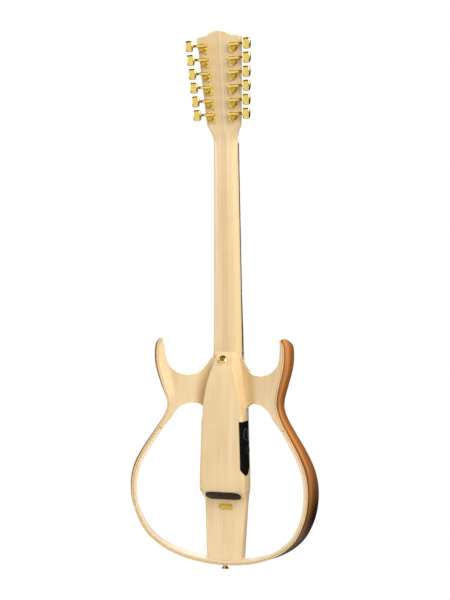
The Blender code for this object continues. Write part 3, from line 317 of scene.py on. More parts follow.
rings = [neck_ring(heel_half_width, 0.0190, 3.0, -0.0012, body_place)]
for height, square in flowing([(-0.395, 2.7), (-0.30, 2.3), (-0.15, 2.2), (-0.042, 2.3)], 8):
    thickness = 0.0145 - 0.0045 * height / joint_drop
    rings.append(neck_ring(neck_half(-height), thickness, square, height, neck_place))
rings.append(neck_ring(nut_half_width, head_thickness, 2.6, -0.018, neck_place))
throat = [
    (0.0050, nut_half_width + 0.0004, 3.0),
    (0.0135, nut_half_width + 0.0021, 4.5),
    (0.0195, foot_half - 0.0055, 7.0),
    (0.0250, foot_half - 0.0028, 9.0),
    (0.0310, foot_half - 0.0008, 11.0),
    (foot_height, foot_half, 12.0),
]
for height, half_width, square in flowing(throat, 5):
    rings.append(neck_ring(half_width, head_thickness, square, height, head_place))
for height in (0.075, 0.115, 0.155):
    rings.append(neck_ring(head_half(height), head_thickness, 12.0, height, head_place))
crown = [(0.0, 1.0), (0.09, 0.90), (0.33, 0.47), (0.71, 0.24), (0.94, 0.03), (1.0, -0.015)]
for rise, share in [crown[0], *flowing(crown[1:], 5)]:
    half_width = peak_half + (shoulder_half - peak_half) * share
    rings.append(neck_ring(half_width, head_thickness, 60.0, shoulder_height + peak_rise * rise, head_place))


def rounded(mesh, width, segments=3, degrees=40):
    """Eases the sharp edges of a closed mesh, as sanding does."""
    blank = bpy.data.objects.new("blank", mesh)
    bpy.context.scene.collection.objects.link(blank)
    ease = blank.modifiers.new("ease", "BEVEL")
    ease.width = width
    ease.segments = segments
    ease.limit_method = "ANGLE"
    ease.angle_limit = math.radians(degrees)
    bpy.context.view_layer.update()
    eased = bpy.data.meshes.new_from_object(blank.evaluated_get(bpy.context.evaluated_depsgraph_get()))
    bpy.data.objects.remove(blank)
    return eased


def wood_grain(finish, across, depth, along, pale, mid, dark, streaks, fine, broad):
    """Fine streaks that run lengthwise over broad soft clouds of tone. Returns colour and height."""
    figure = finish.noise(finish.vector(across, depth, along * 0.14), broad, 2.0)
    streak = finish.noise(finish.vector(across, depth, along * 0.03), fine, 3.0)
    fibre = finish.noise(finish.vector(across, depth, along * 0.010), fine * 2.6, 1.0)
    colour = finish.mix(finish.rise(figure, 0.30, 0.70), pale, mid)
    colour = finish.mix(finish.rise(streak, 0.48, 0.80) * streaks, colour, dark)
    colour = finish.mix(finish.rise(fibre, 0.55, 0.85) * (streaks * 0.6), colour, dark)
    return colour, streak * 0.6 + fibre * 0.4


maple = Finish("maple_satin", roughness=0.38, coat_weight=0.30, coat_roughness=0.20, specular=0.35)
x, y, z = maple.spot()
colour, height = wood_grain(maple, x, y, z, "f6dcae", "ecce9b", "d2a86e", 0.26, 300.0, 30.0)
flame = maple.noise(maple.vector(x * 0.5, y * 0.5, z), 55.0, 1.0)
colour = maple.mix(maple.rise(flame, 0.52, 0.72) * 0.10, colour, "fbe6c2")
above_joint = maple.rise(z, -0.417, -0.411)
on_head = maple.rise(z, -0.004, 0.004)
# The neck's laminated core strip is darkened in colour as well: painted shade for the middle of the round
# back, between its lit edges.
core_with_painted_shade = maple.rise(abs(x), 0.0049, 0.0043) * above_joint
colour = maple.mix(core_with_painted_shade * (1 - on_head) * 0.50, colour, "e2bd92")
light_side = maple.rise(x, 0.0006, 0.0002) * maple.rise(x, -0.0066, -0.0060) * on_head
colour = maple.mix(light_side * 0.28, colour, "f8e4c4")
head_seam = maple.rise(abs(x - 0.0004), 0.0009, 0.0004) * on_head
head_seam = head_seam + maple.rise(abs(x + 0.0064), 0.0008, 0.0003) * on_head * 0.5
neck_seam = maple.rise(abs(abs(x) - 0.0046), 0.0007, 0.0003) * above_joint * (1 - on_head)
colour = maple.mix(head_seam * 0.40 + neck_seam * 0.22, colour, "b98f62")
maple.feed(base_color=colour)
maple.feed(roughness=0.34 + maple.noise(maple.vector(x, y, z * 0.3), 90.0) * 0.10)
maple.bump(height, 0.06, 0.0004)
add_piece("neck_carved", skin("neck_carved", rings), maple, nodes=["neck"])


# Centre block: a solid maple core with a faceted heel, a flat back, a sloping step for the battery
# and a thin tail that ends inside the rim. Its edges are eased by hand.
block_depth, block_front = 0.044, 0.0043
step_top, step_bottom, step_depth = -0.2585, -0.2785, 0.0185
block_table = [
    (0.0000, 0.02750, 0.01950, 0.0170, 0.0150, 1.0),
    (-0.008, 0.02800, 0.02620, 0.0135, 0.0180, 0.0),
    (-0.022, 0.02950, 0.03500, 0.0118, 0.0250, 0.0),
    (-0.038, 0.03120, 0.04120, 0.0085, 0.0290, 0.0),
    (-0.062, 0.03450, 0.04350, 0.0052, 0.0270, 0.0),
    (-0.104, 0.04000, 0.04400, 0.0036, 0.0235, 0.0),
    (-0.128, 0.04050, 0.04400, 0.0060, 0.0060, 1.0),
    (-0.244, 0.04400, 0.04400, 0.0060, 0.0060, 1.0),
    (step_top + 0.0012, 0.04356, 0.04395, 0.0060, 0.0060, 1.0),
    (step_top - 0.0002, 0.04350, 0.04345, 0.0058, 0.0058, 1.0),
    (step_top - 0.0014, 0.04330, 0.04225, 0.0054, 0.0054, 1.0),
    (step_bottom + 0.0018, 0.04075, 0.02080, 0.0030, 0.0030, 1.0),
    (step_bottom + 0.0002, 0.04055, 0.01930, 0.0027, 0.0027, 1.0),
    (step_bottom - 0.0018, 0.04035, 0.01880, 0.0026, 0.0026, 1.0),
    (step_bottom - 0.0060, 0.04005, 0.01915, 0.0025, 0.0025, 1.0),
    (-0.394, 0.03300, 0.03000, 0.0025, 0.0025, 1.0),
]
rows = flowing(block_table[:7], 6)[:-1]
for upper, lower in zip(block_table[6:], block_table[7:]):
    steps = max(1, round((upper[0] - lower[0]) / 0.010))
    rows += [Vector(upper).lerp(Vector(lower), step / steps) for step in range(steps)]
rows.append(Vector(block_table[-1]))


def block_row(drop):
    """Sizes of the block's section at a drop below the neck joint."""
    for upper, lower in zip(rows, rows[1:]):
        if upper[0] >= drop >= lower[0]:
            return upper.lerp(lower, (upper[0] - drop) / (upper[0] - lower[0]))
    return rows[0]


rings = []
for drop, half_width, depth, across, forward, roundness in rows:
    side = []
    for i in range(11):
        angle = math.pi / 20 * i
        flat = Vector((-across * i / 10, -forward * (10 - i) / 10))
        curved = Vector((across * (math.cos(angle) - 1), forward * (math.sin(angle) - 1)))
        ease = flat.lerp(curved, min(max(roundness, 0.0), 1.0))
        side.append((half_width + ease[0], depth + ease[1]))
    right = [(half_width, block_front), *side]
    outline = right + [(-a, b) for a, b in reversed(right)]
    rings.append([body_place @ Vector((a, b, drop)) for a, b in outline])


def cutter(mesh):
    tool = bpy.data.objects.new("cutter", mesh)
    bpy.context.scene.collection.objects.link(tool)
    return tool


def carved(piece, *tools):
    """Takes the cutters' shapes out of a piece, and the cutters out of the scene."""
    for tool in tools:
        modifier = piece.modifiers.new("carved", "BOOLEAN")
        modifier.operation = "DIFFERENCE"
        modifier.object = tool
        modifier.solver = "EXACT"
    bpy.context.view_layer.update()
    mesh = bpy.data.meshes.new_from_object(piece.evaluated_get(bpy.context.evaluated_depsgraph_get()))
    piece.modifiers.clear()
    piece.data = mesh
    smoothed(mesh, 35)
    for tool in tools:
        bpy.data.objects.remove(tool)


def slab_rings(low, high, place):
    """The two ends of a plain slab between two corners, in a frame of its own."""
    found = []
    for height in (low[2], high[2]):
        corners = ((low[0], low[1]), (high[0], low[1]), (high[0], high[1]), (low[0], high[1]))
        found.append([place @ Vector((a, b, height)) for a, b in corners])
    return found


slope = math.atan2(step_top - step_bottom, block_depth - step_depth)
up_slope = Vector((0, math.cos(slope), math.sin(slope)))
off_slope = Vector((0, math.sin(slope), -math.cos(slope)))
step_middle = Matrix.Translation((0, (block_depth + step_depth) / 2, (step_top + step_bottom) / 2))
step_turn = Matrix((up_slope.cross(off_slope), up_slope, off_slope)).transposed().to_4x4()
step_place = body_place @ step_middle @ step_turn
bay = cutter(skin("bay", slab_rings((-0.0315, -0.0095, -0.0295), (0.0315, 0.0095, 0.02), step_place)))
rim_line = [
    (0.1168, 0.0265), (0.1228, 0.0140), (0.1242, -0.0100), (0.1212, -0.0330), (0.1140, -0.0600),
    (0.1080, -0.0850), (0.1075, -0.1030), (0.1150, -0.1240), (0.1290, -0.1480), (0.1510, -0.1840),
    (0.1665, -0.2190), (0.1715, -0.2560), (0.1665, -0.2960), (0.1510, -0.3330), (0.1310, -0.3570),
    (0.1040, -0.3760), (0.0700, -0.3900), (0.0350, -0.3975), (0.0, -0.4000),
]
band_top, rim_thickness, veneer_thickness = -0.140, 0.0094, 0.0032


def inward(curve):
    found = []
    for i in range(len(curve)):
        along = curve[min(i + 1, len(curve) - 1)] - curve[max(i - 1, 0)]
        found.append(Vector((along[1], -along[0])).normalized())
    return found


half_rim = flowing(rim_line, 8)
for upper, lower in zip(half_rim, half_rim[1:]):
    if upper[1] > band_top > lower[1]:
        joint = upper.lerp(lower, (upper[1] - band_top) / (upper[1] - lower[1]))
half_rim = sorted([p for p in half_rim if (p - joint).length > 0.001] + [joint], key=lambda p: -p[1])
whole_rim = half_rim + [Vector((-p[0], p[1])) for p in reversed(half_rim[:-1])]
inside = [p + n * rim_thickness for p, n in zip(whole_rim, inward(whole_rim))]
tail_edge = [p for p in inside if abs(p[0]) < 0.09 and p[1] < -0.3]
tail_edge += [Vector((tail_edge[-1][0], -0.45)), Vector((tail_edge[0][0], -0.45))]
tail_rings = [[body_place @ Vector((p[0], depth, p[1])) for p in tail_edge] for depth in (-0.02, 0.08)]
tail = cutter(skin("tail", tail_rings))
mesh = rounded(skin("block_carved", rings), 0.0009, degrees=28)
block = add_piece("block_carved", mesh, maple, nodes=["centre_block"])
carved(block, bay, tail)


# Wings: two maple plates that spread from the block into horns above and into the rim below. They
# follow the sweep of the rim and are scooped beside the heel.
flare, flare_start, flare_run = 1 / 0.924, 0.045, 0.050
sweep_front, sweep_back = 0.008, 0.030
tip_top, tip_reach, tip_ease = 0.0265, 0.018, 0.27
scoop_reach, scoop_depth = 0.026, 0.0125
horn_foot, horn_full = -0.112, -0.060
horn_rise, horn_fall, ridge_reach, horn_flare = 0.0080, 0.0060, 0.016, 0.028


def eased(share):
    share = min(max(share, 0.0), 1.0)
    return share * share * (3 - 2 * share)


def horn_share(height):
    """How far the horn's own shape has come in at a height, from 0 at the waist to 1."""
    return eased((height - horn_foot) / (horn_full - horn_foot))


def ridge_share(across, height):
    """How near a point of the horn is to the rim: 1 at the rim, falling to 0 towards the cutaway."""
    edge = rim_line[0][0] if height > rim_line[0][1] else rim_line[-1][0]
    for upper, lower in zip(rim_line, rim_line[1:]):
        if upper[1] >= height >= lower[1]:
            edge = upper[0] + (lower[0] - upper[0]) * (upper[1] - height) / (upper[1] - lower[1])
    return eased(1 - (edge - abs(across)) / ridge_reach)


def flare_at(height):
    return flare + horn_flare * horn_share(height)


def front_depth(across, ridge_x, height):
    """Depth of the front at a place. The horns stand further back near their outer edge."""
    lift = horn_rise * horn_share(height) * ridge_share(ridge_x, height)
    return sweep_front + across * across / 1.25 + lift


def back_depth(across, height):
    ridge = ridge_share(across, height)
    lift = horn_share(height) * (horn_rise * ridge - horn_fall * (1 - ridge))
    return sweep_back + across * across / 0.8333 + lift


def kept_depth(height):
    """How much of the rim's depth is left near the tips of the horns, whose front corner is eased."""
    return 1 - tip_ease * max(0.0, (height - tip_top) / tip_reach + 1) ** 2


def scooped(across, height):
    """Depth of the back at a place, hollowed beside the heel."""
    row = block_row(height)
    bottom = max(scoop_depth, row[2] - row[4])
    return bottom + (back_depth(across, height) - bottom) * eased((across - row[1] - 0.0003) / scoop_reach)


cutaway = [
    (0.0300, -0.0100), (0.0372, -0.0225), (0.0465, -0.0350), (0.0590, -0.0420), (0.0750, -0.0435),
    (0.0905, -0.0390), (0.1030, -0.0290), (0.1100, -0.0150), (0.1125, 0.0020), (0.1140, 0.0210),
]
arch = [
    (0.0400, -0.1070), (0.0480, -0.0990), (0.0600, -0.0955), (0.0740, -0.0980), (0.0850, -0.1045),
    (0.0930, -0.1130), (0.0990, -0.1230),
]
last = half_rim.index(joint)
rim_inward = inward(whole_rim)
outer_edge = [p + n * veneer_thickness for p, n in zip(half_rim[: last + 1], rim_inward)]
outer_edge.append(half_rim[last] + rim_inward[last] * rim_thickness)
cutaway_line, arch_line = flowing(cutaway, 7), flowing(arch, 7)
for line, (_, height) in ((cutaway_line, cutaway[0]), (arch_line, arch[0])):
    line[0] = Vector((block_row(height)[1], height))
root_line = [Vector((row[1], row[0])) for row in rows if arch[0][1] + 0.002 < row[0] < cutaway[0][1] - 0.002]
wing_outline = outer_edge[::-1] + cutaway_line[::-1] + root_line + arch_line


def moved(mesh, place):
    mesh.transform(place)
    return mesh


def wing(name, side):
    """One wing, cut into columns and rows first, so that it can follow the sweep."""
    bm = bmesh.new()
    add_rings(bm, [[Vector((p[0], layer, p[1])) for p in wing_outline] for layer in (0.0, 1.0)])
    columns = [0.004 * k for k in range(7, 33)]
    levels = [-0.008 * k for k in range(-3, 18)]
    for normal, places in (((1, 0, 0), columns), ((0, 0, 1), levels)):
        for place in places:
            everything = bm.verts[:] + bm.edges[:] + bm.faces[:]
            bmesh.ops.bisect_plane(bm, geom=everything, plane_co=[place * n for n in normal], plane_no=normal)
    for vertex in bm.verts:
        across, layer, height = vertex.co
        back = scooped(across, height)
        if layer > 0.5:
            row = block_row(height)
            if across < row[1] + 1e-5:
                across = row[1] - row[3] * max(0.0, (back - row[2] + row[4]) / row[4])
            vertex.co = (side * across, back, height)
        else:
            spread = min(max((across - flare_start) / flare_run, 0.0), 1.0)
            wide = across * (1 + (flare_at(height) - 1) * spread)
            kept = kept_depth(height)
            front = front_depth(wide, across, height)
            vertex.co = (side * (across + (wide - across) * kept), back + (front - back) * kept, height)
    return moved(finished(name, bm), body_place)


for side, name in ((1, "treble_wing"), (-1, "bass_wing")):
    add_piece(f"{name}_shaped", wing(name, side), maple, nodes=[name], degrees=40)


# Rim: a pale inner band and a brown outer veneer, bent together to the body's outline and swept back
# towards the widest place. The veneer runs on up the horns, and its cut edge shows pale behind.
def bent_strip(name, curve, outer, inner, ease, tip_length):
    """A strip between two insets of the rim's line, with rounded edges and tips."""
    edge = ease / (sweep_back - sweep_front)
    face = [(ease, 0), (ease * 0.3, edge * 0.3), (0, edge), *[(0, share / 6) for share in range(1, 6)]]
    face += [(0, 1 - edge), (ease * 0.3, 1 - edge * 0.3), (ease, 1)]
    corners = [(outer + ease, 0), *[(inner - a, b) for a, b in face]]
    corners += [(outer + a, b) for a, b in reversed(face[1:])]
    rings = []
    run = [0.0]
    for near, far in zip(curve, curve[1:]):
        run.append(run[-1] + (far - near).length)
    for point, direction, reach in zip(curve, inward(curve), run):
        from_end = min(reach, run[-1] - reach, tip_length) / tip_length
        spread = 1.0 - 0.62 * (1.0 - math.sqrt(1.0 - (1.0 - from_end) ** 2))
        ring = []
        for inset, share in corners:
            across, height = point + direction * inset
            share = (0.5 + (share - 0.5) * spread) * kept_depth(height)
            behind = back_depth(across, height)
            wide = across * flare_at(height)
            before = front_depth(wide, across, height)
            spot = (across + (wide - across) * share, behind + (before - behind) * share, height)
            ring.append(body_place @ Vector(spot))
        rings.append(ring)
    return skin(name, rings)


def rim_grain(finish, x, y, z, pale, mid, dark, streaks, fine, broad):
    """Grain that follows the bend: streaks lie at one depth behind the rim's front edge."""
    deep = y - body_place.translation[1] - sweep_front - x * x * 0.75
    run = (abs(x) - z) * 0.7
    colour, height = wood_grain(finish, deep, deep * 0.4, run, pale, mid, dark, streaks, fine, broad)
    return colour, height, deep, run


veneer = Finish("brown_veneer_gloss", roughness=0.38, coat_weight=0.08, coat_roughness=0.16, specular=0.14)
x, y, z = veneer.spot()
colour, height, deep, run = rim_grain(veneer, x, y, z, "c07b3d", "9e5e2d", "5e3216", 0.50, 330.0, 90.0)
at_horn = veneer.rise(z, horn_foot - joint_drop, horn_full - joint_drop)
stripe = veneer.noise(veneer.vector(deep, 0.0, run * 0.04), 170.0, 2.0)
colour = veneer.mix(veneer.rise(stripe, 0.52, 0.66) * 0.45, colour, "7b4422")
# Painted light across the veneer's outer face: painted shade towards its front edge and near its back, and a
# painted highlight along the middle, as a rounded face lit from the side would show.
across_face = (deep - horn_rise * at_horn) * (45.45 - x * x * 560) + (stripe - 0.5) * 0.5
colour = veneer.mix(veneer.rise(across_face, 0.52, 0.16) * 0.62, colour, "70401f")
painted_highlight_band = veneer.rise(across_face, 0.50, 0.62) * veneer.rise(across_face, 0.88, 0.76)
colour = veneer.mix(painted_highlight_band * 0.55, colour, "e09a58")
colour = veneer.mix(veneer.rise(across_face, 0.80, 0.94) * 0.60, colour, "87502a")
behind = y - body_place.translation[1] - sweep_back - x * x * 1.2 - horn_rise * at_horn
ragged = veneer.noise(veneer.vector(x, y, z), 900.0) * 0.0003
treble_side = veneer.rise(x, 0.0, 0.05)
cut_edge = veneer.rise(behind + ragged + 0.0035 * treble_side, -0.0010, -0.0005)
colour = veneer.mix(cut_edge, colour, "ecc998")
# Painted shade: towards the tail on the bass side the veneer is darkened almost to black, where its face
# turns down and away from the lamps.
towards_tail = veneer.rise(z, -0.58, -0.72) * veneer.rise(x, 0.02, -0.06)
painted_shade_towards_tail = towards_tail * (1 - cut_edge) * (0.62 + 0.36 * veneer.rise(across_face, 0.85, 0.30))
colour = veneer.mix(painted_shade_towards_tail, colour, "1c0e06")
veneer.feed(base_color=colour)
veneer.bump(height, 0.10, 0.0004)
mesh = bent_strip("veneer_bent", whole_rim, 0.0002, 0.0030, 0.0006, 0.0130)
add_piece("veneer_bent", mesh, veneer, nodes=["side_veneer"])

satin = {"roughness": 0.40, "coat_weight": 0.20, "coat_roughness": 0.2, "specular": 0.35}
band_wood = Finish("pale_lamination_satin", **satin)
x, y, z = band_wood.spot()
colour, height, *_ = rim_grain(band_wood, x, y, z, "fbe6c2", "f2d8ac", "cfa571", 0.24, 340.0, 60.0)
band_wood.feed(base_color=colour)
band_wood.bump(height, 0.02, 0.0003)
band_line = [p for p in whole_rim if p[1] < band_top + 1e-6]
mesh = bent_strip("band_bent", band_line, veneer_thickness, 0.0093, 0.0012, 0.0005)
add_piece("band_bent", mesh, band_wood, nodes=["side_band"])


# Front plate: a thin reddish brown board that closes the block's front from the neck to the tail.
# It is glued on, and a thin pale binding hides its narrow edges.
def finer(node, width=0.0):
    """The node's own shape with shared corners, so that round faces shade smoothly and edges are eased."""
    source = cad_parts[node].data
    order = {}
    index = []
    for vertex in source.vertices:
        index.append(order.setdefault(tuple(round(c, 6) for c in vertex.co), len(order)))
    faces = [tuple(index[i] for i in polygon.vertices) for polygon in source.polygons]
    mesh = bpy.data.meshes.new(f"{node}_finer")
    mesh.from_pydata(list(order), [], [face for face in faces if len(set(face)) == len(face)])
    mesh.validate()
    bm = bmesh.new()
    bm.from_mesh(mesh)
    bmesh.ops.dissolve_limit(bm, angle_limit=math.radians(3), verts=bm.verts, edges=bm.edges)
    if width:
        sharp = [e for e in bm.edges if len(e.link_faces) == 2 and e.calc_face_angle() > math.radians(35)]
        bmesh.ops.bevel(
            bm, geom=sharp, offset=width, segments=2, profile=0.5, affect="EDGES", clamp_overlap=True
        )
    bmesh.ops.triangulate(bm, faces=[f for f in bm.faces if len(f.verts) > 4])
    bm.to_mesh(mesh)
    bm.free()
    return mesh


front_wood = Finish("front_wood_satin", roughness=0.38, coat_weight=0.30, coat_roughness=0.16, specular=0.35)
x, y, z = front_wood.spot()
colour, height = wood_grain(front_wood, x, y, z, "96552c", "7c4322", "532a15", 0.5, 380.0, 60.0)
facing = front_wood.parts(front_wood.add("ShaderNodeNewGeometry", output=1))[1]
colour = front_wood.mix(front_wood.rise(abs(facing), 0.75, 0.45), colour, "e2c296")
front_wood.feed(base_color=colour)
front_wood.bump(height, 0.10, 0.0004)
add_piece("front_board", finer("front_plate", 0.0005), front_wood, nodes=["front_plate"])


# Fretboard: dark dense wood, oiled, with crowned nickel frets let into its face, pearl dots between
# them and small dots along its bass edge.
dark_wood = Finish("dark_wood_oiled", roughness=0.50, specular=0.35)
x, y, z = dark_wood.spot()
colour, height = wood_grain(dark_wood, x, y, z, "4a352a", "38271f", "1f1511", 0.6, 520.0, 60.0)
dark_wood.feed(base_color=colour)
dark_wood.bump(height, 0.18, 0.0005)
board = finer("fretboard")
add_piece("fretboard_oiled", board, dark_wood, degrees=25, nodes=["fretboard"])

nickel = mottled("nickel_wire", 240.0, 2.0, "c9c6bf", "dedbd3", metallic=1.0)
nickel.feed(roughness=0.18 + nickel.drift * 0.14)
board_face, fret_half, fret_rise = -0.0063, 0.0012, 0.00112


def fret_drop(number):
    return nut_drop + scale_length * (1 - 2 ** (-number / 12))


for number in range(1, 21):
    drop = fret_drop(number)
    reach = neck_half(drop) - 0.0005
    rings = []
    for end, share in ((-1, 0.05), (-0.985, 1.0), (0.985, 1.0), (1, 0.05)):
        ring = []
        for i in range(9):
            angle = math.pi * i / 8
            rise = fret_rise * share * math.sin(angle)
            height = -drop + fret_half * math.cos(angle)
            ring.append(neck_place @ Vector((end * reach, board_face - rise, height)))
        rings.append(ring)
    add_piece(f"fret_{number:02d}", skin("fret", rings), nickel, degrees=50)

pearl = mottled("pearl_dot", 420.0, 3.0, "f2efe6", "cfd6d2", roughness=0.22, coat_weight=0.4)


def turned_rings(profile, sides, place):
    found = []
    for radius, height in profile:
        ring = []
        for i in range(sides):
            angle = 2 * math.pi * i / sides
            ring.append(place @ Vector((radius * math.cos(angle), radius * math.sin(angle), height)))
        found.append(ring)
    return found


def turned(name, profile, sides, place):
    return skin(name, turned_rings(profile, sides, place))


to_front = Matrix.Rotation(math.radians(90), 4, "X")
to_back = Matrix.Rotation(math.radians(-90), 4, "X")
to_bass = Matrix.Rotation(math.radians(-90), 4, "Y")
for number in (3, 5, 7, 9, 12, 15, 17, 19):
    middle = (fret_drop(number) + fret_drop(number - 1)) / 2
    for spread, mark in ((-0.0125, "a"), (0.0125, "b")) if number == 12 else ((0.0, "a"),):
        place = neck_place @ Matrix.Translation((spread, board_face, -middle)) @ to_front
        dot = turned("dot", ((0.0030, -0.0004), (0.0030, 0.00004), (0.0027, 0.00008)), 24, place)
        add_piece(f"dot_{number:02d}_{mark}", dot, pearl)
    place = neck_place @ Matrix.Translation((-neck_half(middle), -0.0033, -middle)) @ to_bass
    dot = turned("dot", ((0.0010, -0.0004), (0.0010, 0.00004), (0.0009, 0.00006)), 16, place)
    add_piece(f"side_dot_{number:02d}", dot, pearl)


# Nut and saddle: polished off-white blanks. The nut is glued at the head's foot and the saddle
# stands loose in the bridge's slot.
bone = Finish("bone_polished", roughness=0.34, coat_weight=0.2)
x, y, z = bone.spot()
mottle = bone.noise(bone.vector(x, y * 3, z), 130.0, 3.0)
bone.feed(base_color=bone.mix(mottle, "efe8d6", "e2d8c0"))
bone.bump(mottle, 0.05, 0.0003)
for node in ("nut", "saddle"):
    add_piece(f"{node}_polished", finer(node), bone, nodes=[node])


# Bridge: a low block of the fretboard's wood, glued on the front plate, with the strings' ball ends
# held behind its lower side.
add_piece("bridge_oiled", finer("bridge", 0.0012), dark_wood, nodes=["bridge"])


# Strings: six pairs of wire wound with bronze. Each is held by its ball end behind the bridge and
# runs over saddle and nut to its own post.
bronze = mottled("bronze_winding", 90.0, 2.0, "cfa36a", "b98a52", metallic=1.0, roughness=0.30)
turns = {"Vector": bronze.vector(*bronze.spot()), "Scale": 1200.0}
winding = bronze.add("ShaderNodeTexWave", {"bands_direction": "Z"}, turns)
bronze.bump(winding, 0.25, 0.0002)
for course in range(1, 7):
    name = f"string_course_{course}"
    add_piece(f"strings_{course}", finer(name), bronze, nodes=[name], degrees=70)


# Tuners: six geared machines on each side. A plated base carries a round gear cover and a worm
# housing, one small screw holds it, and a bushing comes out in front round the string post.
gold = mottled("gold_plate_polished", 160.0, 3.0, "f1d588", "e4c062", metallic=1.0)
scuff = gold.rise(gold.noise(gold.vector(*gold.spot()), 700.0, 4.0), 0.60, 0.75)
gold.feed(roughness=0.15 + gold.drift * 0.12 + scuff * 0.15)
gold.bump(gold.drift, 0.03, 0.0003)


def plated(name, light, dark, smoothest, spread, relief):
    """Gold plate with a faint haze in its tone and polish."""
    finish = mottled(name, 260.0, 3.0, light, dark, metallic=1.0)
    finish.feed(roughness=smoothest + finish.drift * spread)
    finish.bump(finish.drift, relief, 0.0003)
    return finish


gold_housing = plated("gold_plate_housing", "f4dc7c", "e6c462", 0.26, 0.12, 0.01)
# Two darker copies of the same gold plate: painted shade for the gear covers and the blank, and deeper
# painted shade for the stems.
gold_painted_shade = plated("gold_plate_painted_shade", "dcb950", "c8a23f", 0.30, 0.12, 0.01)
gold_painted_deep_shade = plated("gold_plate_painted_deep_shade", "a8893c", "8a6c2a", 0.24, 0.14, 0.03)

worm_offset, shaft_rise = 0.0070, 0.0045
plate_gap, base_thickness = 0.0003, 0.0020
box_back = head_thickness + plate_gap
layer_top = box_back + base_thickness


def cross_slots(radius, place):
    """Two crossed grooves for a driver, in a head that stands along the place's Z axis."""
    arm, groove = radius * 0.62, radius * 0.12
    first = slab_rings((-arm, -groove, radius * 0.15), (arm, groove, radius), place)
    second = slab_rings((-groove, -arm, radius * 0.15), (groove, arm, radius), place)
    return cutter(skin("slot", first)), cutter(skin("slot", second))


def arc(first, last, step, reach):
    """Points of an arc about the origin, by their angles in degrees."""
    angles = [math.radians(a) for a in range(first, last, step)]
    return [Vector((math.cos(angle), math.sin(angle))) * reach for angle in angles]


def gear_box(side):
    """The plated base of one tuner with its cover, worm housing, sleeve, bushing and collar."""
    half, top, bottom = 0.00825, worm_offset + 0.0030, worm_offset - 0.0030
    ear = Vector((-half + 0.0010, -0.0070))
    outline = [Vector((-half, top)), Vector((half, top)), Vector((half, bottom))]
    outline += arc(25, -106, -10, 0.0064)
    outline += [ear + point for point in arc(-60, -190, -15, 0.0019)]
    rings = [[Vector((side * p[0], layer, p[1])) for p in outline] for layer in (box_back, layer_top)]
    low = (-half, box_back + 0.0010, bottom + 0.0004)
    high = (half, box_back + 0.0089, top - 0.0004)
    bm = bmesh.new()
    bm.from_mesh(rounded(skin("base", rings), 0.0004, 2))
    bm.from_mesh(rounded(skin("housing", slab_rings(low, high, Matrix())), 0.0012))
    collar = ((0.0035, -0.0025), (0.0052, -0.0024), (0.0060, -0.0018))
    collar += ((0.0062, -0.0003), (0.0048, -0.0003), (0.0048, 0.0160))
    add_rings(bm, turned_rings(collar, 28, to_back))
    sleeve = ((0.0028, 0.0040), (0.0028, 0.0104), (0.0026, 0.0106), (0.0026, 0.0109))
    sleeve += ((0.0028, 0.0111), (0.0028, 0.0117), (0.0024, 0.0118))
    shaft_line = Matrix.Translation((0, box_back + shaft_rise, worm_offset))
    along = shaft_line @ Matrix.Rotation(math.radians(90 * side), 4, "Y")
    add_rings(bm, turned_rings(sleeve, 20, along))
    bmesh.ops.recalc_face_normals(bm, faces=bm.faces)
    mesh = bpy.data.meshes.new("gear_box")
    bm.to_mesh(mesh)
    bm.free()
    cover = ((0.0060, 0.0010), (0.0060, 0.0072), (0.0055, 0.0080), (0.0049, 0.0082), (0.0046, 0.0079))
    cover += ((0.0044, 0.0072), (0.0040, 0.0072), (0.0038, 0.0079), (0.0034, 0.0082), (0.0002, 0.0084))
    on_plate = Matrix.Translation((0, box_back, 0)) @ to_back
    return mesh, skin("cover", turned_rings(cover, 28, on_plate)), ear


def button_rings(side):
    """Stem and button of a tuner, along its shaft: an oblong with eased corners and a flat face."""
    start, length, tall, thick, stem_radius = 0.0183, 0.0150, 0.0105, 0.00425, 0.0033
    shape = [(0.0040, 0.0017, 0.0017), (0.0136, 0.0017, 0.0017)]
    shape += [(0.0140, 0.0027, 0.0027), (0.0148, 0.0029, 0.0029)]
    shape += [(0.0153, 0.0021, 0.0021), (0.0168, 0.0020, 0.0020), (0.0180, 0.0024, 0.0024)]
    for step in range(19):
        along = -0.985 + 1.97 * step / 18
        swell = (1 - abs(along) ** 4.2) ** (1 / 2.2)
        half_height, half_thick = tall * (0.24 + 0.76 * swell), thick * (0.34 + 0.66 * swell)
        shape.append((start + length / 2 * (1 + along), half_height, half_thick))
    found = []
    for reach, half_height, half_thick in shape:
        square = 3.2 if half_height > stem_radius else 2.0
        ring = []
        for i in range(36):
            angle = 2 * math.pi * i / 36
            deep = half_thick * squarish(math.cos(angle), square)
            ring.append(Vector((side * reach, deep, half_height * squarish(math.sin(angle), 2.5))))
        found.append(ring)
    return found


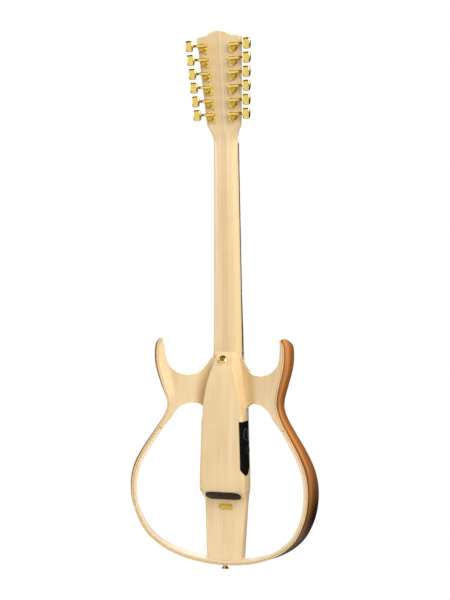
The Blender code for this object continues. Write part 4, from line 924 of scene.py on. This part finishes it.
first_tuner, tuner_pitch, post_inset = 0.0510, 0.0255, 0.0115
stem_rings = 7
for side, first in ((1, 1), (-1, 7)):
    box_mesh, cover_mesh, ear = gear_box(side)
    for number in range(6):
        tag = f"{first + number:02d}"
        height = first_tuner + tuner_pitch * number
        post_x = side * (head_half(height) - post_inset)
        post = head_place @ Matrix.Translation((post_x, 0, height - worm_offset))
        shaft = post @ Matrix.Translation((0, box_back + shaft_rise, worm_offset))
        box = moved(box_mesh.copy(), post)
        add_piece(f"gear_box_{tag}", box, gold_housing, nodes=[f"tuner_housing_{tag}"])
        # Cover and stem take the darker copies of the gold plate, which are painted shade.
        add_piece(f"gear_cover_{tag}", moved(cover_mesh.copy(), post), gold_painted_shade)
        rings = button_rings(side)
        stem = moved(skin("stem", rings[:stem_rings]), shaft)
        add_piece(f"stem_{tag}", stem, gold_painted_deep_shade, f"knob_{tag}", 40)
        button = moved(skin("button", rings[stem_rings - 1 :]), shaft)
        add_piece(f"button_{tag}", button, gold, f"knob_{tag}", 40, [f"tuner_knob_{tag}"])
        node = f"tuner_post_{tag}"
        add_piece(f"post_{tag}", finer(node), gold, f"post_{tag}", 40, [node])
        place = post @ Matrix.Translation((side * ear[0], layer_top, ear[1])) @ to_back
        head = ((0.0013, -0.0004), (0.0013, 0.0001), (0.0011, 0.0005), (0.0007, 0.0007), (0.0001, 0.0008))
        add_piece(f"ear_screw_{tag}", turned("ear_screw", head, 16, place), gold, degrees=50)


# Preamp panel: a black moulded cover let into the bass side of the block and bent round its back
# corner. A raised arch and a bar mark the slider, tick marks the dial, and its lower end is a tongue.
panel_top, panel_bottom, panel_point = -0.129, -0.2215, 0.0085
panel_front, block_corner = 0.0060, 0.0060
side_length = block_depth - block_corner - panel_front
wrap_length = side_length + block_corner * math.pi / 2


def panel_spot(run, drop, proud):
    """A point of the panel: run is measured from its front edge round the corner."""
    half = block_row(drop)[1]
    if run < side_length:
        return body_place @ Vector((-half - proud, panel_front + run, drop))
    angle = (run - side_length) / block_corner
    reach = block_corner + proud
    across = -half + block_corner - reach * math.cos(angle)
    behind = block_depth - block_corner + reach * math.sin(angle)
    return body_place @ Vector((across, behind, drop))


def panel_sheet(name, low, high, grow):
    """The panel between two depths. Its outline is straight above and ends in a round tongue."""
    bm = bmesh.new()
    layers = []
    columns, lines = 28, 30
    for proud in (high, low):
        grid = []
        for i in range(columns + 1):
            share = i / columns
            run = -grow + (wrap_length + 2 * grow) * share
            end = panel_bottom - (panel_point + 0.004) * (1 - abs(2 * share - 1) ** 2.4) + 0.004 - grow
            start = panel_top + grow
            drops = [start + (end - start) * j / lines for j in range(lines + 1)]
            grid.append([bm.verts.new(panel_spot(run, drop, proud)) for drop in drops])
        layers.append(grid)
    for grid in layers:
        for a, b in zip(grid, grid[1:]):
            for j in range(lines):
                bm.faces.new((a[j], b[j], b[j + 1], a[j + 1]))
    top, under = layers
    border = [(i, 0) for i in range(columns)] + [(columns, j) for j in range(lines)]
    border += [(i, lines) for i in range(columns, 0, -1)] + [(0, j) for j in range(lines, 0, -1)]
    for (i, j), (k, l) in zip(border, border[1:] + border[:1]):
        bm.faces.new((top[i][j], top[k][l], under[k][l], under[i][j]))
    return finished(name, bm)


def moulded(name, scale, dark, light, relief, **settings):
    """A plastic with the fine grain of its mould."""
    finish = mottled(name, scale, 2.0, dark, light, **settings)
    finish.bump(finish.drift, relief, 0.0003)
    return finish


black = moulded("black_moulding", 1400.0, "07080a", "0c0d0f", 0.10, roughness=0.60, specular=0.08)
mesh = rounded(panel_sheet("panel", -0.0030, 0.0006, 0.0), 0.0004, 2, 45)
panel = add_piece("panel_moulded", mesh, black, nodes=["preamp_panel"])
recess = cutter(panel_sheet("recess", -0.0033, 0.0040, 0.0003))
carved(block, recess)

slider_run, slider_drop, slider_travel = 0.0165, -0.1680, 0.008
slot_half = 0.0015
slot_front = panel_front + slider_run - slider_travel - slot_half
slot_back = panel_front + slider_run + slider_travel + slot_half
slot_low = body_place @ Vector((-0.0440, slot_front, slider_drop - slot_half))
slot_high = body_place @ Vector((-0.0380, slot_back, slider_drop + slot_half))
carved(panel, cutter(skin("slot", slab_rings(slot_low, slot_high, Matrix()))))

mark_grey = mottled("grey_moulded_mark", 800.0, 2.0, "565a5f", "6e7276", roughness=0.5, specular=0.3)


def ridge(name, path, width, rise, finish):
    """A low moulded ridge on the panel along a path of (run, drop) points."""
    rings = []
    for i, (run, drop) in enumerate(path):
        ahead = Vector(path[min(i + 1, len(path) - 1)]) - Vector(path[max(i - 1, 0)])
        across = Vector((-ahead[1], ahead[0])).normalized() * width / 2
        profile = ((-1, 0.0003), (-0.6, rise), (0.6, rise), (1, 0.0003), (0, 0.0001))
        rings.append([panel_spot(run + across[0] * k, drop + across[1] * k, proud) for k, proud in profile])
    add_piece(name, skin(name, rings), finish, degrees=30)


middle_run = 0.019
arch_angles = [math.radians(a) for a in range(0, 181, 10)]
arch_path = [(middle_run + 0.0125 * math.cos(a), -0.1560 + 0.0135 * math.sin(a)) for a in arch_angles]
arch_path = [(arch_path[0][0], -0.1600), *arch_path, (arch_path[-1][0], -0.1600)]
ridge("panel_arch", arch_path, 0.0012, 0.0011, mark_grey)
bar_path = [(middle_run - 0.006 + 0.012 * k / 6, -0.1628) for k in range(7)]
ridge("panel_bar", bar_path, 0.0011, 0.0010, mark_grey)
seam_path = [(0.0006 + (wrap_length - 0.0012) * k / 24, -0.1955) for k in range(25)]
ridge("panel_seam", seam_path, 0.0007, 0.0008, black)
dial_run, dial_drop = 0.0165, -0.1830
for degrees in range(-135, 136, 30):
    angle = math.radians(degrees + 90)
    near, far = 0.0082, 0.0096
    path = [(dial_run + r * math.cos(angle), dial_drop + r * math.sin(angle)) for r in (near, far)]
    ridge(f"dial_mark_{(degrees + 135) // 30:02d}", path, 0.0008, 0.0008, mark_grey)

control = moulded("black_control_moulding", 1400.0, "0e0f11", "17191b", 0.08, roughness=0.42, specular=0.25)


def dial_mesh():
    """A low round dial with a milled edge and a shallow round dip in its face."""
    rings = []
    for radius, height, milled in (
        (0.0025, -0.0048, 0), (0.0025, 0.0003, 0), (0.0068, 0.0003, 0), (0.0070, 0.0006, 1),
        (0.0070, 0.0034, 1), (0.0066, 0.0040, 0), (0.0060, 0.0042, 0), (0.0040, 0.0041, 0),
        (0.0034, 0.0038, 0), (0.0002, 0.0038, 0),
    ):
        ring = []
        for i in range(72):
            angle = 2 * math.pi * i / 72
            reach = radius - (0.00025 if milled and i % 3 == 0 else 0.0)
            ring.append(Vector((reach * math.cos(angle), reach * math.sin(angle), height)))
        rings.append(ring)
    return skin("dial", rings)


dial_spot = (-block_row(dial_drop)[1] - 0.0006, panel_front + dial_run, dial_drop)
dial = moved(dial_mesh(), body_place @ Matrix.Translation(dial_spot) @ to_bass)
add_piece("dial_moulded", dial, control, "volume_dial", 40, ["volume_dial"])
slider = finer("tone_slider", 0.0003)
add_piece("slider_moulded", slider, control, "tone_slider", nodes=["tone_slider"])


# Battery compartment: a dark brown moulded sleeve with a flat flange in the sloping step, and the
# drawer that slides out of it.
brown_plastic = moulded("dark_plastic", 900.0, "241a10", "302418", 0.08, roughness=0.45, specular=0.15)
for name, node, body in (
    ("battery_sleeve", "battery_box", "guitar"),
    ("battery_tray", "battery_drawer", "battery_drawer"),
):
    add_piece(name, finer(node, 0.0003), brown_plastic, body, nodes=[node])


# Small gold plate: a bare plated blank under the step, with two lugs. Two small round-headed screws
# hold it to the tail, and a smaller one is set in the rim's back edge.
plate_drop, lug_centre, lug_reach, plate_half = -0.2913, 0.0105, 0.0030, 0.0052
tail_lean = math.atan2(0.0300 - step_depth, 0.394 + step_bottom)
plate_depth = step_depth + (step_bottom - plate_drop) * math.tan(tail_lean)
plate_middle = Matrix.Translation((-0.0008, plate_depth, plate_drop))
plate_place = body_place @ plate_middle @ Matrix.Rotation(tail_lean, 4, "X") @ to_back
outline = []
for turn, centre in ((-90, lug_centre), (90, -lug_centre)):
    for i in range(13):
        angle = math.radians(turn + 180 * i / 12)
        outline.append((centre + lug_reach * math.cos(angle), plate_half * math.sin(angle)))
rings = [[plate_place @ Vector((a, b, rise)) for a, b in outline] for rise in (-0.0002, 0.0008)]
# The blank takes the darker copy of the gold plate, which is painted shade.
add_piece("gold_blank", rounded(skin("gold_blank", rings), 0.0003, 2, 50), gold_painted_shade)


def screw(name, place, radius):
    """A small round-headed screw with a cross in its head."""
    profile = ((radius, -0.0006), (radius, 0.0001), (radius * 0.85, radius * 0.38))
    profile += ((radius * 0.45, radius * 0.52), (radius * 0.1, radius * 0.55))
    piece = add_piece(name, turned(name, profile, 20, place), gold, degrees=60)
    carved(piece, *cross_slots(radius, place))


for side, name in ((1, "left"), (-1, "right")):
    screw(f"blank_screw_{name}", plate_place @ Matrix.Translation((side * 0.0118, 0, 0.0009)), 0.0015)
rim_screw_depth = back_depth(0.014, -0.39)
screw("rim_screw", body_place @ Matrix.Translation((0.0140, rim_screw_depth, -0.3945)) @ to_back, 0.0011)


# Strap buttons: turned and plated, one screwed into the heel and one through the rim into the tail,
# with a cross in the head of each screw.
button_profile = (
    (0.0020, -0.0195), (0.0020, 0.0003), (0.0062, 0.0003), (0.0064, 0.0006), (0.0063, 0.0010),
    (0.0050, 0.0018), (0.0039, 0.0028), (0.0037, 0.0040), (0.0044, 0.0049), (0.0060, 0.0056),
    (0.0067, 0.0062), (0.0068, 0.0067), (0.0066, 0.0073), (0.0058, 0.0078), (0.0049, 0.0080),
    (0.0036, 0.0079), (0.0034, 0.0072), (0.0032, 0.0073), (0.0022, 0.0077), (0.0004, 0.0078),
)
screw_radius, screw_rise = 0.0030, 0.0064
heel_slope = math.atan2(0.0350 - 0.0262, 0.014)
heel_turn = Matrix.Rotation(heel_slope - math.pi / 2, 4, "X")
heel_place = body_place @ Matrix.Translation((0, 0.0306, -0.015)) @ heel_turn
end_place = body_place @ Matrix.Translation((0, 0.019, -0.400)) @ Matrix.Rotation(math.pi, 4, "X")
for node, place in (("strap_button_heel", heel_place), ("strap_button_end", end_place)):
    button = turned(node, button_profile, 40, place)
    piece = add_piece(f"{node}_turned", button, gold, degrees=50, nodes=[node])
    carved(piece, *cross_slots(screw_radius, place @ Matrix.Translation((0, 0, screw_rise))))
